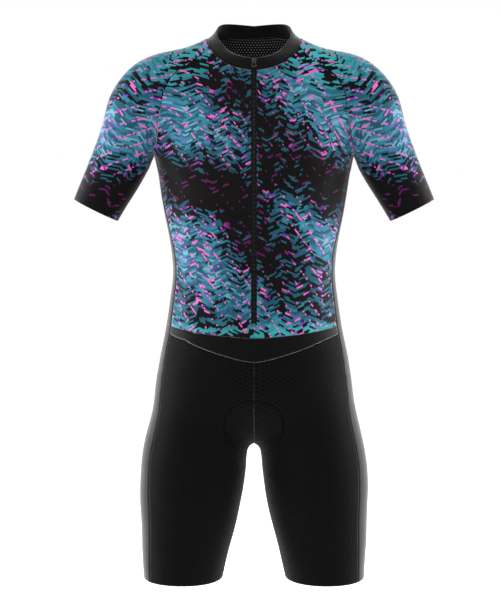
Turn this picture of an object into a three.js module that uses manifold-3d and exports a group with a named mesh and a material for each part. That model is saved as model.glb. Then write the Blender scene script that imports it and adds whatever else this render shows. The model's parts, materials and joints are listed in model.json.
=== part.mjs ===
// Short-sleeved triathlon suit, filled out as if worn, with nobody in it.
// Millimetres, +Z up, the front faces -Y and the wearer's left is +X. The origin lies midway between
// the two points where the shoulders carry the suit, beside the neck.
// Every cloth panel lies on one smooth form. Seams are curves drawn on that form, neighbouring
// panels share their points, and each panel is a thin wall between its outer and inner skins.
import * as THREE from 'three';
import { mergeVertices } from 'three/addons/utils/BufferGeometryUtils.js';
import Module from 'manifold-3d';

// Driving sizes of the cloth and the cut
const CLOTH = 1.6; // wall of the knitted cloth
const SEAM_GAP = 0.3; // clearance between two sewn pieces
const HEM_Z = -923; // both leg hems lie level here
const HIP_SEAM_Z = -494; // foot of the printed front, at the side panel
const LEG_TOP_Z = -500; // head of the leg front, at the side panel
const SEAT_SEAM_Z = -497; // foot of the printed back, at the side panel
const UNDERARM_HALF = 18; // half width of the side panel where it starts under the arm
const ZIP_SLOT_HALF = 4.6; // half width of the slot that the zip fills
const BELOW_ARM_Z = -222; // the side panel's straight seams end here, just under the arm
const INSEAM_ANGLE = -Math.PI / 2; // the inseam meets the hem at this angle from straight forward
const CROTCH = { x: 0, y: 5, z: -698 };

// How many cells a panel has between its corners
const CELLS = {
  front: 8, // centre front to side panel
  side: 6, // across a side panel, an even number
  neck: 14, // round a sleeve, and along its head at the collar
  raglan: 8, // underarm to collar
  flank: 12, // hip seam to underarm
  waist: 2, // height of the waist panel
  leg: 16, // hem to waist panel
  inseam: 9, // hem to crotch
  sleeve: 6, // cuff to underarm
  collar: 2, // height of the collar
};

// Level sections of the trunk: half width, and depth in front of and behind the axis
const TRUNK = [
  { z: -690, half: 20, front: 12, back: 16 },
  { z: -660, half: 84, front: 50, back: 66 },
  { z: -620, half: 148, front: 88, back: 108 },
  { z: -560, half: 162, front: 99, back: 114 },
  { z: -500, half: 152, front: 103, back: 98 },
  { z: -450, half: 144.5, front: 101, back: 88 },
  { z: -400, half: 139, front: 100, back: 86 },
  { z: -350, half: 144, front: 103, back: 93 },
  { z: -300, half: 154, front: 108, back: 103 },
  { z: -250, half: 162, front: 112, back: 113 },
  { z: -200, half: 166, front: 112, back: 119 },
  { z: -150, half: 158, front: 106, back: 118 },
  { z: -100, half: 136, front: 92, back: 110 },
  { z: -62, half: 106, front: 76, back: 98 },
  { z: -30, half: 78, front: 64, back: 84 },
  { z: 0, half: 60, front: 57, back: 72 },
  { z: 60, half: 52, front: 50, back: 60 },
];

// Rounded foot of the trunk, between the legs, which takes over from the sections at a height
const TRUNK_FOOT_Z = -660;
const PELVIS = { y: 14, z: -590, half: 154, depth: 110, height: 101 };

// Level sections of the left leg about its own centre line
const LEG = [
  { z: -980, x: 127, y: 0, half: 61, front: 62, back: 64 },
  { z: -917, x: 120.7, y: 0, half: 69, front: 70, back: 72 },
  { z: -870, x: 116.5, y: 0, half: 76.3, front: 76, back: 79 },
  { z: -825, x: 111.2, y: 1, half: 83, front: 82, back: 86 },
  { z: -780, x: 107.5, y: 2, half: 89, front: 88, back: 93 },
  { z: -736, x: 104, y: 4, half: 91.2, front: 92, back: 100 },
  { z: -700, x: 101, y: 6, half: 89.5, front: 93, back: 108 },
  { z: -650, x: 90, y: 8, half: 88, front: 91, back: 114 },
  { z: -600, x: 82, y: 8, half: 82, front: 88, back: 112 },
  { z: -550, x: 70, y: 6, half: 70, front: 76, back: 94 },
  { z: -500, x: 55, y: 4, half: 38, front: 45, back: 55 },
  { z: -430, x: 45, y: 4, half: 5, front: 5, back: 5 },
];

// Centre line and radius of the left shoulder and arm, from beside the neck to past the cuff
const ARM = [
  { x: 58, y: 6, z: -65, r: 66.5 },
  { x: 119, y: 8, z: -86, r: 68 },
  { x: 162, y: 8, z: -93, r: 67.5 },
  { x: 190, y: 7, z: -118, r: 63 },
  { x: 207, y: 6, z: -157, r: 56 },
  { x: 228, y: 4, z: -207, r: 52 },
  { x: 272, y: 2, z: -295, r: 43.3 },
  { x: 290, y: 1, z: -336, r: 41 },
];

// Line inside the sleeve that its rows are swept round, from the cuff to beside the neck
const SLEEVE_LINE = [...ARM.slice(2, 7).reverse(), { x: 100, y: 5, z: -62 }];

// How softly two parts of the form run into each other
const BLEND = { pelvis: 24, legs: 9, thigh: 30, underarm: 9, shoulder: 34 };
const BLEND_FROM_Z = -190; // the arm's blend grows from here
const BLEND_TO_Z = -90; // to here

// Distance of the side panel's seams from the middle of the side, front and back alike
const SIDE_SEAM = [
  { z: -917, y: 43 },
  { z: -850, y: 52 },
  { z: -780, y: 56 },
  { z: -700, y: 51 },
  { z: -620, y: 44 },
  { z: -500, y: 40 },
  { z: -400, y: 37 },
  { z: -350, y: 36 },
  { z: -290, y: 23 },
  { z: -240, y: 18 },
  { z: -190, y: 18 },
];

// Seams that are drawn on the left half of the form, each from its first point to its last
const FRONT_NECK = { x: 74, y: -36, z: -20 };
const BACK_NECK = { x: 70, y: 40, z: 8 };
const NECKLINE_FRONT = [
  { x: 0, y: -76, z: -62 },
  { x: 32, y: -72, z: -57 },
  { x: 48, y: -63, z: -50 },
  { x: 59, y: -54, z: -42 },
  { x: 68.5, y: -44, z: -31 },
  FRONT_NECK,
];
const NECKLINE_SIDE = [FRONT_NECK, { x: 77, y: -16, z: -8 }, { x: 79, y: 4, z: 1 }, { x: 76, y: 24, z: 6 }, BACK_NECK];
const NECKLINE_BACK = [BACK_NECK, { x: 60, y: 52, z: 10 }, { x: 40, y: 63, z: 11 }, { x: 0, y: 70, z: 11 }];
const RAGLAN_FRONT = [
  { x: 162, y: -40, z: -152 },
  { x: 156, y: -52, z: -108 },
  { x: 147, y: -54, z: -82 },
  { x: 133, y: -57, z: -63 },
  { x: 111, y: -53, z: -46 },
  { x: 89, y: -48, z: -34 },
  FRONT_NECK,
];
const RAGLAN_BACK = [
  { x: 161, y: 46, z: -152 },
  { x: 152, y: 62, z: -108 },
  { x: 138, y: 68, z: -72 },
  { x: 114, y: 66, z: -42 },
  { x: 90, y: 56, z: -14 },
  BACK_NECK,
];

// Seam along the inside of the sleeve, between its cuff and the underarm
const ARM_SEAM = [
  { x: 218, y: 2, z: -290 },
  { x: 202, y: 2, z: -262 },
  { x: 184, y: 1, z: -232 },
];

// Seams on the middle plane, and from it to the side panel
const CENTRE_FRONT = [
  { x: 0, y: -103, z: -506 },
  { x: 0, y: -103, z: -487 },
  { x: 0, y: -103, z: -484 },
  { x: 0, y: -100, z: -400 },
  { x: 0, y: -108, z: -300 },
  { x: 0, y: -112, z: -200 },
  { x: 0, y: -93, z: -102 },
  { x: 0, y: -76, z: -62 },
];
const SLOT_FOOT = 2; // row of the centre line where the zip's slot starts, the fronts meet below it
const PRINT_FOOT = [
  { x: 0, y: -103, z: -506 },
  { x: 37, y: -99, z: -504 },
  { x: 75, y: -87, z: -502 },
  { x: 114, y: -60, z: -498 },
];
const LEG_HEAD = [
  { x: 0, y: -102, z: -545 },
  { x: 24, y: -100, z: -541 },
  { x: 49, y: -95, z: -533 },
  { x: 75, y: -85, z: -525 },
  { x: 97, y: -73, z: -515 },
  { x: 119, y: -56, z: -506 },
];
const SEAT_HEAD = [
  { x: 0, y: 98, z: -503 },
  { x: 60, y: 91, z: -502 },
  { x: 105, y: 68, z: -499 },
];
const FLY_SEAM = [
  CROTCH,
  { x: 0, y: -45, z: -688 },
  { x: 0, y: -80, z: -650 },
  { x: 0, y: -97, z: -600 },
  { x: 0, y: -102, z: -545 },
];
const SEAT_SEAM = [
  CROTCH,
  { x: 0, y: 60, z: -688 },
  { x: 0, y: 105, z: -650 },
  { x: 0, y: 122, z: -600 },
  { x: 0, y: 114, z: -550 },
  { x: 0, y: 98, z: -503 },
];
const INSEAM = [
  { x: 43, y: 2, z: -870 },
  { x: 31, y: 3, z: -820 },
  { x: 21, y: 4, z: -775 },
  { x: 15, y: 5, z: -738 },
  { x: 10, y: 5, z: -712 },
  CROTCH,
];
const ARCH_FOOT = 3; // row of the inseam where the arch between the legs starts
const ARCH_CELLS = 3; // cells of the inseam from there to the crotch

// Top edge of the collar's left half, from the zip to the nape
const COLLAR_EDGE = [
  { x: 0, y: -63, z: -39 },
  { x: 18, y: -60.5, z: -37.5 },
  { x: 31, y: -55, z: -33 },
  { x: 43, y: -46, z: -26 },
  { x: 53, y: -33, z: -14 },
  { x: 61, y: -14, z: 0 },
  { x: 64.5, y: 5, z: 13 },
  { x: 62, y: 20, z: 23 },
  { x: 54, y: 33, z: 29 },
  { x: 36, y: 46, z: 31 },
  { x: 0, y: 53, z: 29 },
];

// Seat pad: half width at distances along the crotch seam, from its front end to its rear end
const PAD = [
  { at: 0, half: 12 },
  { at: 10, half: 30 },
  { at: 24, half: 44 },
  { at: 44, half: 52 },
  { at: 74, half: 44 },
  { at: 104, half: 30 },
  { at: 130, half: 26 },
  { at: 160, half: 34 },
  { at: 200, half: 58 },
  { at: 235, half: 68 },
  { at: 262, half: 60 },
  { at: 280, half: 40 },
  { at: 290, half: 14 },
];
const PAD_FRONT_Z = -608; // its front end on the fly seam
const PAD_EDGE = 1.4; // thickness at its rim
const PAD_MIDDLE = 6; // and at its middle
const PAD_CLEAR = 2.3; // clearance to the cloth outside it
const PAD_CELLS = { along: 20, across: 10 };

// Zip: coil in the middle, a tape on each side, slider at the collar with a pull tab
// Levels are heights over the cloth's outer face
const COIL_HALF = 1.7;
const COIL_THICK = 1.5;
const COIL_LEVEL = -0.05;
const TAPE_THICK = 1;
const TAPE_LEVEL = -0.3;
const SLIDER = { top: 8.2, foot: 5.8, length: 10, thick: 1.2, face: 0.3, rear: -1.9, z: -45.5 };
const WEDGE_HALF = 1.3;
const WEDGE_FOOT = 0.4;
const BRIDGE = { width: 1.6, span: 7.4, post: 1, gap: 1.5, bar: 0.9 };
const TAB = { top: 4.8, foot: 7.6, length: 12.5, thick: 0.9, rim: 1.1, bar: 0.9, pivot: -1.9 };
const STOP = { height: 3, thick: 1.9, level: 0.3 };

// Colours and finishes
const FINISH = {
  print: { color: 0x2f6f84, roughness: 0.7, metalness: 0 },
  smooth: { color: 0x1b1b1c, roughness: 0.55, metalness: 0 },
  dimpled: { color: 0x161617, roughness: 0.75, metalness: 0 },
  pad: { color: 0x3a3f46, roughness: 0.9, metalness: 0 },
  zip: { color: 0x0c0c0d, roughness: 0.5, metalness: 0 },
  metal: { color: 0x4a4b4d, roughness: 0.35, metalness: 0.8 },
};

const STEP = 0.4; // step of the numeric gradient
const EVENING_ROUNDS = 24; // how often a panel's inner points are evened out
const vector = (p) => new THREE.Vector3(p.x, p.y, p.z);
const mirrored = (p) => new THREE.Vector3(-p.x, p.y, p.z);

// Smooth reading of a table's columns at a value of its key column, which rises from row to row.
function reader(table, key) {
  const fields = Object.keys(table[0]).filter((name) => name !== key);
  const slope = (i, name) => {
    const a = table[Math.max(i - 1, 0)];
    const b = table[Math.min(i + 1, table.length - 1)];
    return (b[name] - a[name]) / (b[key] - a[key]);
  };
  const slopes = table.map((row, i) => Object.fromEntries(fields.map((name) => [name, slope(i, name)])));
  return (value) => {
    const held = Math.min(Math.max(value, table[0][key]), table[table.length - 1][key]);
    let i = 0;
    while (i < table.length - 2 && table[i + 1][key] < held) i++;
    const span = table[i + 1][key] - table[i][key];
    const t = (held - table[i][key]) / span;
    const out = {};
    for (const name of fields) {
      const rise = table[i + 1][name] - table[i][name];
      const a = slopes[i][name] * span - rise;
      const b = rise - slopes[i + 1][name] * span;
      out[name] = table[i][name] + t * rise + t * (1 - t) * (a * (1 - t) + b * t);
    }
    return out;
  };
}

const trunkAt = reader(TRUNK, 'z');
const legAt = reader(LEG, 'z');
const sideSeamAt = reader(SIDE_SEAM, 'z');
const padHalfAt = reader(PAD, 'at');

function smoothMin(a, b, width) {
  const near = Math.max(width - Math.abs(a - b), 0) / width;
  return Math.min(a, b) - (near * near * width) / 4;
}

// Distance from a level, slightly squared oval, measured along the ray from its centre
function ovalDistance(x, y, section) {
  const SQUARENESS = 2.2;
  const depth = y < 0 ? section.front : section.back;
  const across = Math.abs(x / section.half) ** SQUARENESS;
  const deep = Math.abs(y / depth) ** SQUARENESS;
  const share = Math.max((across + deep) ** (1 / SQUARENESS), 1e-6);
  return Math.hypot(x, y) * (1 - 1 / share);
}

function pelvisDistance(x, y, z) {
  const { half, depth, height } = PELVIS;
  const u = [x / half, (y - PELVIS.y) / depth, (z - PELVIS.z) / height];
  const g = [u[0] / half, u[1] / depth, u[2] / height];
  const share = Math.hypot(...u);
  return (share * (share - 1)) / Math.max(Math.hypot(...g), 1e-6);
}

function legDistance(x, y, z) {
  const section = legAt(z);
  return ovalDistance(x - section.x, y - section.y, section);
}

// The arm's centre line and radius as a fine chain of short steps
const ARM_LINE = (() => {
  const STEPS = 36;
  const line = new THREE.CatmullRomCurve3(ARM.map(vector), false, 'centripetal');
  const radii = new THREE.SplineCurve(ARM.map((p, i) => new THREE.Vector2(i, p.r)));
  return Array.from({ length: STEPS + 1 }, (_, i) => {
    const p = line.getPoint(i / STEPS);
    return { x: p.x, y: p.y, z: p.z, r: radii.getPoint(i / STEPS).y };
  });
})();

function armDistance(x, y, z) {
  let nearest = Infinity;
  for (let i = 0; i < ARM_LINE.length - 1; i++) {
    const a = ARM_LINE[i];
    const b = ARM_LINE[i + 1];
    const d = { x: b.x - a.x, y: b.y - a.y, z: b.z - a.z };
    const along = (x - a.x) * d.x + (y - a.y) * d.y + (z - a.z) * d.z;
    const t = Math.min(Math.max(along / (d.x * d.x + d.y * d.y + d.z * d.z), 0), 1);
    const away = Math.hypot(x - a.x - t * d.x, y - a.y - t * d.y, z - a.z - t * d.z);
    nearest = Math.min(nearest, away - a.r - t * (b.r - a.r));
  }
  return nearest;
}

// Signed distance from the form that the suit is filled out to: negative inside
function formDistance(p) {
  const x = Math.abs(p.x);
  const rise = (p.z - BLEND_FROM_Z) / (BLEND_TO_Z - BLEND_FROM_Z);
  const armBlend = THREE.MathUtils.lerp(BLEND.underarm, BLEND.shoulder, THREE.MathUtils.clamp(rise, 0, 1));
  const trunk = Math.max(ovalDistance(x, p.y, trunkAt(p.z)), TRUNK_FOOT_Z - p.z);
  const hips = smoothMin(trunk, pelvisDistance(x, p.y, p.z), BLEND.pelvis);
  const legs = smoothMin(legDistance(x, p.y, p.z), legDistance(-x, p.y, p.z), BLEND.legs);
  const lower = smoothMin(hips, legs, BLEND.thigh);
  return smoothMin(lower, armDistance(x, p.y, p.z), armBlend);
}

function formNormal(p) {
  const slope = (axis) => {
    const a = p.clone();
    const b = p.clone();
    a[axis] -= STEP;
    b[axis] += STEP;
    return (formDistance(b) - formDistance(a)) / (2 * STEP);
  };
  return new THREE.Vector3(slope('x'), slope('y'), slope('z'));
}

// Moves a point along the form's normal until it lies on the form
function settle(p, rounds = 5) {
  for (let i = 0; i < rounds; i++) {
    const normal = formNormal(p);
    p.addScaledVector(normal, -formDistance(p) / Math.max(normal.lengthSq(), 0.2));
  }
  return p;
}

// First point on the form that a ray from inside meets
function castOut(start, direction) {
  const STRIDE = 2;
  const p = start.clone().addScaledVector(direction, STRIDE);
  while (formDistance(p) < 0) p.addScaledVector(direction, STRIDE);
  for (let back = STRIDE; back > 1e-4; back /= 2) {
    p.addScaledVector(direction, formDistance(p) > 0 ? -back : back);
  }
  return p;
}

// A seam: a smooth curve through its points, cut into even cells and laid on the form
function seam(points, cells) {
  const curve = new THREE.CatmullRomCurve3(points.map(vector), false, 'centripetal');
  return curve.getSpacedPoints(cells).map((p) => settle(p));
}

// A seam of a side panel between two heights, on the front (-1) or the back (+1) of the side
function sideSeam(fromZ, toZ, cells, facing) {
  const INSIDE = 110;
  return Array.from({ length: cells + 1 }, (_, i) => {
    const z = THREE.MathUtils.lerp(fromZ, toZ, i / cells);
    return castOut(new THREE.Vector3(INSIDE, facing * sideSeamAt(z).y, z), new THREE.Vector3(1, 0, 0));
  });
}

// A point of the fold under the arm, where the sleeve and the side of the body meet
function underarmPoint(y) {
  const GAP_X = 172;
  const BELOW_Z = -240;
  const p = new THREE.Vector3(GAP_X, y, BELOW_Z);
  while (formDistance(p) > 0) p.z += 0.5;
  return settle(p);
}

// Point of the left hem at an angle, counted from straight forward towards the side
function hemPoint(angle) {
  const section = legAt(HEM_Z);
  const centre = new THREE.Vector3(section.x, section.y, HEM_Z);
  return castOut(centre, new THREE.Vector3(Math.sin(angle), -Math.cos(angle), 0));
}

function hemArc(fromAngle, toAngle, cells) {
  return Array.from({ length: cells + 1 }, (_, i) => hemPoint(THREE.MathUtils.lerp(fromAngle, toAngle, i / cells)));
}

// Angle of a point about the left hem's centre
function hemAngle(p) {
  const section = legAt(HEM_Z);
  return Math.atan2(p.x - section.x, section.y - p.y);
}

const joined = (...runs) => runs.flatMap((run, i) => (i ? run.slice(1) : run));
const turned = (run) => [...run].reverse();

// Fills the space between four seams with a grid of points on the form, rows from foot to head
function fillPanel({ foot, head, start, end }) {
  const columns = foot.length - 1;
  const rows = start.length - 1;
  if (head.length !== foot.length || end.length !== start.length) throw new Error('seams do not match');
  const corner = (a, b, c, d, u, v) =>
    a.clone().multiplyScalar((1 - u) * (1 - v)).addScaledVector(b, u * (1 - v))
      .addScaledVector(c, (1 - u) * v).addScaledVector(d, u * v);
  const grid = start.map((_, j) => foot.map((__, i) => {
    const u = i / columns;
    const v = j / rows;
    if (j === 0) return foot[i].clone();
    if (j === rows) return head[i].clone();
    if (i === 0) return start[j].clone();
    if (i === columns) return end[j].clone();
    return new THREE.Vector3()
      .addScaledVector(foot[i], 1 - v).addScaledVector(head[i], v)
      .addScaledVector(start[j], 1 - u).addScaledVector(end[j], u)
      .sub(corner(foot[0], foot[columns], head[0], head[columns], u, v));
  }));
  return relax(grid);
}

// Evens out a grid's inner points on the form
function relax(grid) {
  for (let round = 0; round < EVENING_ROUNDS; round++) {
    for (let j = 1; j < grid.length - 1; j++) {
      for (let i = 1; i < grid[j].length - 1; i++) {
        const p = grid[j][i].copy(grid[j][i - 1]).add(grid[j][i + 1]).add(grid[j - 1][i]).add(grid[j + 1][i]);
        settle(p.multiplyScalar(0.25), 2);
      }
    }
  }
  return grid.map((row) => row.map((p) => settle(p)));
}

// Draws a grid's edges in by half a seam's clearance, along the cloth and square to each edge
function insetEdges(grid, normals) {
  const lastRow = grid.length - 1;
  const lastColumn = grid[0].length - 1;
  // Mitred shift at p for an edge that arrives from one point and leaves for another, to its left
  const shift = (p, normal, from, to) => {
    const sides = [];
    if (from) sides.push(normal.clone().cross(p.clone().sub(from)).normalize());
    if (to) sides.push(normal.clone().cross(to.clone().sub(p)).normalize());
    const share = sides.length > 1 ? 1 + sides[0].dot(sides[1]) : 1;
    return sides.reduce((sum, side) => sum.add(side), new THREE.Vector3()).multiplyScalar(SEAM_GAP / 2 / share);
  };
  return grid.map((row, j) => row.map((p, i) => {
    const moved = p.clone();
    const normal = normals[j][i];
    const [left, right, below, above] = [row[i - 1], row[i + 1], grid[j - 1]?.[i], grid[j + 1]?.[i]];
    if (j === 0) moved.add(shift(p, normal, left, right));
    if (j === lastRow) moved.add(shift(p, normal, right, left));
    if (i === 0) moved.add(shift(p, normal, above, below));
    if (i === lastColumn) moved.add(shift(p, normal, below, above));
    return moved;
  }));
}

// Outward normals of a grid that doesn't lie on the form
function gridNormals(grid) {
  const rows = grid.length;
  const columns = grid[0].length;
  return grid.map((row, j) => row.map((_, i) => {
    const across = row[Math.min(i + 1, columns - 1)].clone().sub(row[Math.max(i - 1, 0)]);
    const up = grid[Math.min(j + 1, rows - 1)][i].clone().sub(grid[Math.max(j - 1, 0)][i]);
    return across.cross(up).normalize();
  }));
}

// Closed wall between an outer and an inner grid of points, as one geometry
function wallGeometry(outer, inner) {
  const rows = outer.length;
  const columns = outer[0].length;
  const [top, last] = [rows - 1, columns - 1];
  const index = (skin, j, i) => (skin * rows + j) * columns + i;
  const faces = [];
  const quad = (a, b, c, d) => faces.push(a, b, c, a, c, d);
  for (let i = 0; i < last; i++) {
    for (let j = 0; j < top; j++) {
      quad(index(0, j, i), index(0, j, i + 1), index(0, j + 1, i + 1), index(0, j + 1, i));
      quad(index(1, j, i), index(1, j + 1, i), index(1, j + 1, i + 1), index(1, j, i + 1));
    }
    quad(index(1, 0, i), index(1, 0, i + 1), index(0, 0, i + 1), index(0, 0, i));
    quad(index(0, top, i), index(0, top, i + 1), index(1, top, i + 1), index(1, top, i));
  }
  for (let j = 0; j < top; j++) {
    quad(index(0, j, 0), index(0, j + 1, 0), index(1, j + 1, 0), index(1, j, 0));
    quad(index(0, j, last), index(1, j, last), index(1, j + 1, last), index(0, j + 1, last));
  }
  const geometry = new THREE.BufferGeometry().setFromPoints([...outer.flat(), ...inner.flat()]);
  geometry.setIndex(faces);
  return geometry;
}

const suit = new THREE.Group();

function addMesh(name, geometry, finish, parent = suit) {
  const mesh = new THREE.Mesh(geometry, new THREE.MeshStandardMaterial(FINISH[finish]));
  mesh.name = name;
  parent.add(mesh);
  return mesh;
}

// Adds a cloth piece that lies on the form, and its mirror image where it has one
function addCloth(name, grid, finish, { pair = false } = {}) {
  const normals = grid.map((row) => row.map((p) => formNormal(p).normalize()));
  const outer = insetEdges(grid, normals);
  const inner = outer.map((row, j) => row.map((p, i) => p.clone().addScaledVector(normals[j][i], -CLOTH)));
  const geometry = wallGeometry(outer, inner);
  if (!pair) return addMesh(name, geometry, finish);
  addMesh(`${name}_left`, geometry, finish);
  return addMesh(`${name}_right`, geometry, finish).scale.set(-1, 1, 1);
}

// The seams that several pieces share, on the wearer's left half
const underarm = Array.from({ length: CELLS.side + 1 }, (_, i) =>
  underarmPoint(THREE.MathUtils.lerp(-UNDERARM_HALF, UNDERARM_HALF, i / CELLS.side)));
const underarmFront = underarm[0];
const underarmBack = underarm[CELLS.side];
const flankFront = [...sideSeam(HIP_SEAM_Z, BELOW_ARM_Z, CELLS.flank - 1, -1), underarmFront];
const flankBack = [...sideSeam(SEAT_SEAM_Z, BELOW_ARM_Z, CELLS.flank - 1, 1), underarmBack];
const waistEnd = sideSeam(LEG_TOP_Z, HIP_SEAM_Z, CELLS.waist, -1);
const thighFront = sideSeam(HEM_Z, LEG_TOP_Z, CELLS.leg, -1);
const thighBack = sideSeam(HEM_Z, SEAT_SEAM_Z, CELLS.leg + CELLS.waist, 1);
const raglanFront = seam([underarmFront, ...RAGLAN_FRONT], CELLS.raglan);
const raglanBack = seam([underarmBack, ...RAGLAN_BACK], CELLS.raglan);
const neckFront = seam(NECKLINE_FRONT, CELLS.front);
const neckSide = seam(NECKLINE_SIDE, CELLS.neck);
const neckBack = seam(NECKLINE_BACK, CELLS.front);
const printFoot = seam([...PRINT_FOOT, flankFront[0]], CELLS.front);
const legHead = seam([...LEG_HEAD, waistEnd[0]], CELLS.front);
const seatHead = seam([...SEAT_HEAD, flankBack[0]], CELLS.front);
const inseam = joined(
  seam([hemPoint(INSEAM_ANGLE), ...INSEAM.slice(0, ARCH_FOOT + 1)], CELLS.inseam - ARCH_CELLS),
  seam(INSEAM.slice(ARCH_FOOT), ARCH_CELLS));
const fly = seam(FLY_SEAM, CELLS.leg - CELLS.inseam);
const seat = seam(SEAT_SEAM, CELLS.leg + CELLS.waist - CELLS.inseam);
const hemFront = hemArc(INSEAM_ANGLE, hemAngle(thighFront[0]), CELLS.front);
const hemSide = hemArc(hemAngle(thighFront[0]), hemAngle(thighBack[0]), CELLS.side);
const hemBack = hemArc(hemAngle(thighBack[0]), INSEAM_ANGLE + 2 * Math.PI, CELLS.front);

// Centre line of the front, and the edge of the left front panel, which leaves a slot for the zip
const centreFront = joined(
  CENTRE_FRONT.slice(0, SLOT_FOOT + 1).map((p) => settle(vector(p))),
  seam(CENTRE_FRONT.slice(SLOT_FOOT), CELLS.flank + CELLS.raglan - SLOT_FOOT));
const frontEdge = centreFront.map((p, j) =>
  (j < SLOT_FOOT ? p : settle(new THREE.Vector3(ZIP_SLOT_HALF, p.y, p.z))));
neckFront[0] = frontEdge[frontEdge.length - 1];

// From the right side over the front to the left side, or from the left side over the back to the right
const overFront = (leftRun) => joined(turned(leftRun).map(mirrored), leftRun);
const overBack = (leftRun) => joined(turned(leftRun), leftRun.map(mirrored));

function addFronts() {
  const end = joined(flankFront, raglanFront);
  addCloth('front', fillPanel({ foot: printFoot, head: neckFront, start: frontEdge, end }), 'print', { pair: true });
}

function addBack() {
  const edge = joined(flankBack, raglanBack);
  const grid = fillPanel({
    foot: overBack(seatHead),
    head: overBack(turned(neckBack)),
    start: edge,
    end: edge.map(mirrored),
  });
  addCloth('back', grid, 'print');
}

// A sleeve is one piece. Its rows run round the outside of the arm: from the seam on the arm's inside
// and back to it, and higher up from the front raglan seam over the shoulder to the back one.
function addSleeves() {
  const middle = CELLS.side / 2;
  const line = new THREE.CatmullRomCurve3(SLEEVE_LINE.map(vector), false, 'centripetal');
  const front = new THREE.Vector3(0, -1, 0);
  const rows = CELLS.sleeve + middle + CELLS.raglan;
  // Points of row j, swept round the arm from one end of the row to the other
  const sweep = (j, from, to) => {
    const centre = line.getPointAt(j / rows);
    const axis = line.getTangentAt(j / rows);
    const inner = new THREE.Vector3().crossVectors(front, axis).normalize();
    const [a, b] = [from, to].map((end) => (end ? end.clone().sub(centre) : inner.clone()));
    const angleOf = (v) => Math.atan2(Math.abs(v.dot(front)), v.dot(inner));
    const closed = j <= CELLS.sleeve;
    const [first, last] = closed ? [0, 2 * Math.PI] : [angleOf(a), 2 * Math.PI - angleOf(b)];
    return Array.from({ length: CELLS.neck + 1 }, (_, i) => {
      const t = i / CELLS.neck;
      const angle = THREE.MathUtils.lerp(first, last, t);
      const across = THREE.MathUtils.lerp(Math.hypot(a.dot(inner), a.dot(front)), Math.hypot(b.dot(inner), b.dot(front)), t);
      const direction = inner.clone().multiplyScalar(across * Math.cos(angle))
        .addScaledVector(front, across * Math.sin(angle))
        .addScaledVector(axis, THREE.MathUtils.lerp(a.dot(axis), b.dot(axis), t));
      return castOut(centre, direction.normalize());
    });
  };
  const cuff = sweep(0);
  const armSeam = seam([cuff[0], ...ARM_SEAM, underarm[middle]], CELLS.sleeve);
  const start = joined(armSeam, turned(underarm.slice(0, middle + 1)), raglanFront);
  const end = joined(armSeam, underarm.slice(middle), raglanBack);
  const grid = start.map((p, j) => {
    if (j === 0) return cuff;
    if (j === rows) return neckSide.map((q) => q.clone());
    const row = sweep(j, p, end[j]);
    row[0] = p.clone();
    row[CELLS.neck] = end[j].clone();
    return row;
  });
  addCloth('sleeve', relax(grid), 'print', { pair: true });
}

function addSides() {
  const grid = fillPanel({
    foot: hemSide,
    head: underarm,
    start: joined(thighFront, waistEnd, flankFront),
    end: joined(thighBack, flankBack),
  });
  addCloth('side', grid, 'smooth', { pair: true });
}

function addWaist() {
  const grid = fillPanel({
    foot: overFront(legHead),
    head: overFront(printFoot),
    start: waistEnd.map(mirrored),
    end: waistEnd,
  });
  addCloth('waist_front', grid, 'smooth');
}

function addLegs() {
  const front = fillPanel({ foot: hemFront, head: legHead, start: joined(inseam, fly), end: thighFront });
  const back = fillPanel({ foot: hemBack, head: turned(seatHead), start: thighBack, end: joined(inseam, seat) });
  addCloth('leg_front', front, 'dimpled', { pair: true });
  addCloth('leg_back', back, 'dimpled', { pair: true });
}

// The collar stands on the neckline and runs from one side of the zip round the neck to the other
function addCollar() {
  const foot = joined(neckFront, neckSide, neckBack);
  const edge = new THREE.CatmullRomCurve3(COLLAR_EDGE.map(vector), false, 'centripetal').getSpacedPoints(foot.length - 1);
  edge[0].x = ZIP_SLOT_HALF;
  const half = Array.from({ length: CELLS.collar + 1 }, (_, j) =>
    foot.map((p, i) => p.clone().lerp(edge[i], j / CELLS.collar)));
  const grid = half.map((row) => joined(row, turned(row).map(mirrored)));
  const normals = gridNormals(grid);
  normals[0] = grid[0].map((p) => formNormal(p).normalize());
  const outer = insetEdges(grid, normals);
  const inner = outer.map((row, j) => row.map((p, i) => p.clone().addScaledVector(normals[j][i], -CLOTH)));
  addMesh('collar', wallGeometry(outer, inner), 'smooth');
}

// A point at a distance from the start, walked over the form
function walk(start, direction, distance) {
  const STRIDE = 4;
  const p = start.clone();
  const heading = direction.clone();
  const steps = Math.ceil(distance / STRIDE);
  for (let i = 0; i < steps; i++) {
    const normal = formNormal(p).normalize();
    heading.addScaledVector(normal, -heading.dot(normal)).normalize();
    settle(p.addScaledVector(heading, distance / steps), 3);
  }
  return p;
}

// Moves a point of the form inwards until it is clear of the cloth's flat facets
function lieAgainst(p, normal, cloth) {
  const REACH = 10;
  const RINGS = [0.6, 4];
  const AROUND = 8;
  const sideways = new THREE.Vector3(1, 0, 0).addScaledVector(normal, -normal.x).normalize();
  const along = normal.clone().cross(sideways);
  const caster = new THREE.Raycaster();
  caster.far = 2 * REACH;
  const distances = RINGS.flatMap((radius) => Array.from({ length: AROUND }, (_, k) => {
    const turn = ((k + 0.5) / AROUND) * 2 * Math.PI;
    const start = p.clone().addScaledVector(normal, -REACH)
      .addScaledVector(sideways, radius * Math.cos(turn)).addScaledVector(along, radius * Math.sin(turn));
    caster.set(start, normal);
    const met = caster.intersectObjects(cloth)[0];
    return met ? met.distance : caster.far;
  }));
  p.addScaledVector(normal, Math.min(...distances) - PAD_CLEAR - REACH);
}

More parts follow.
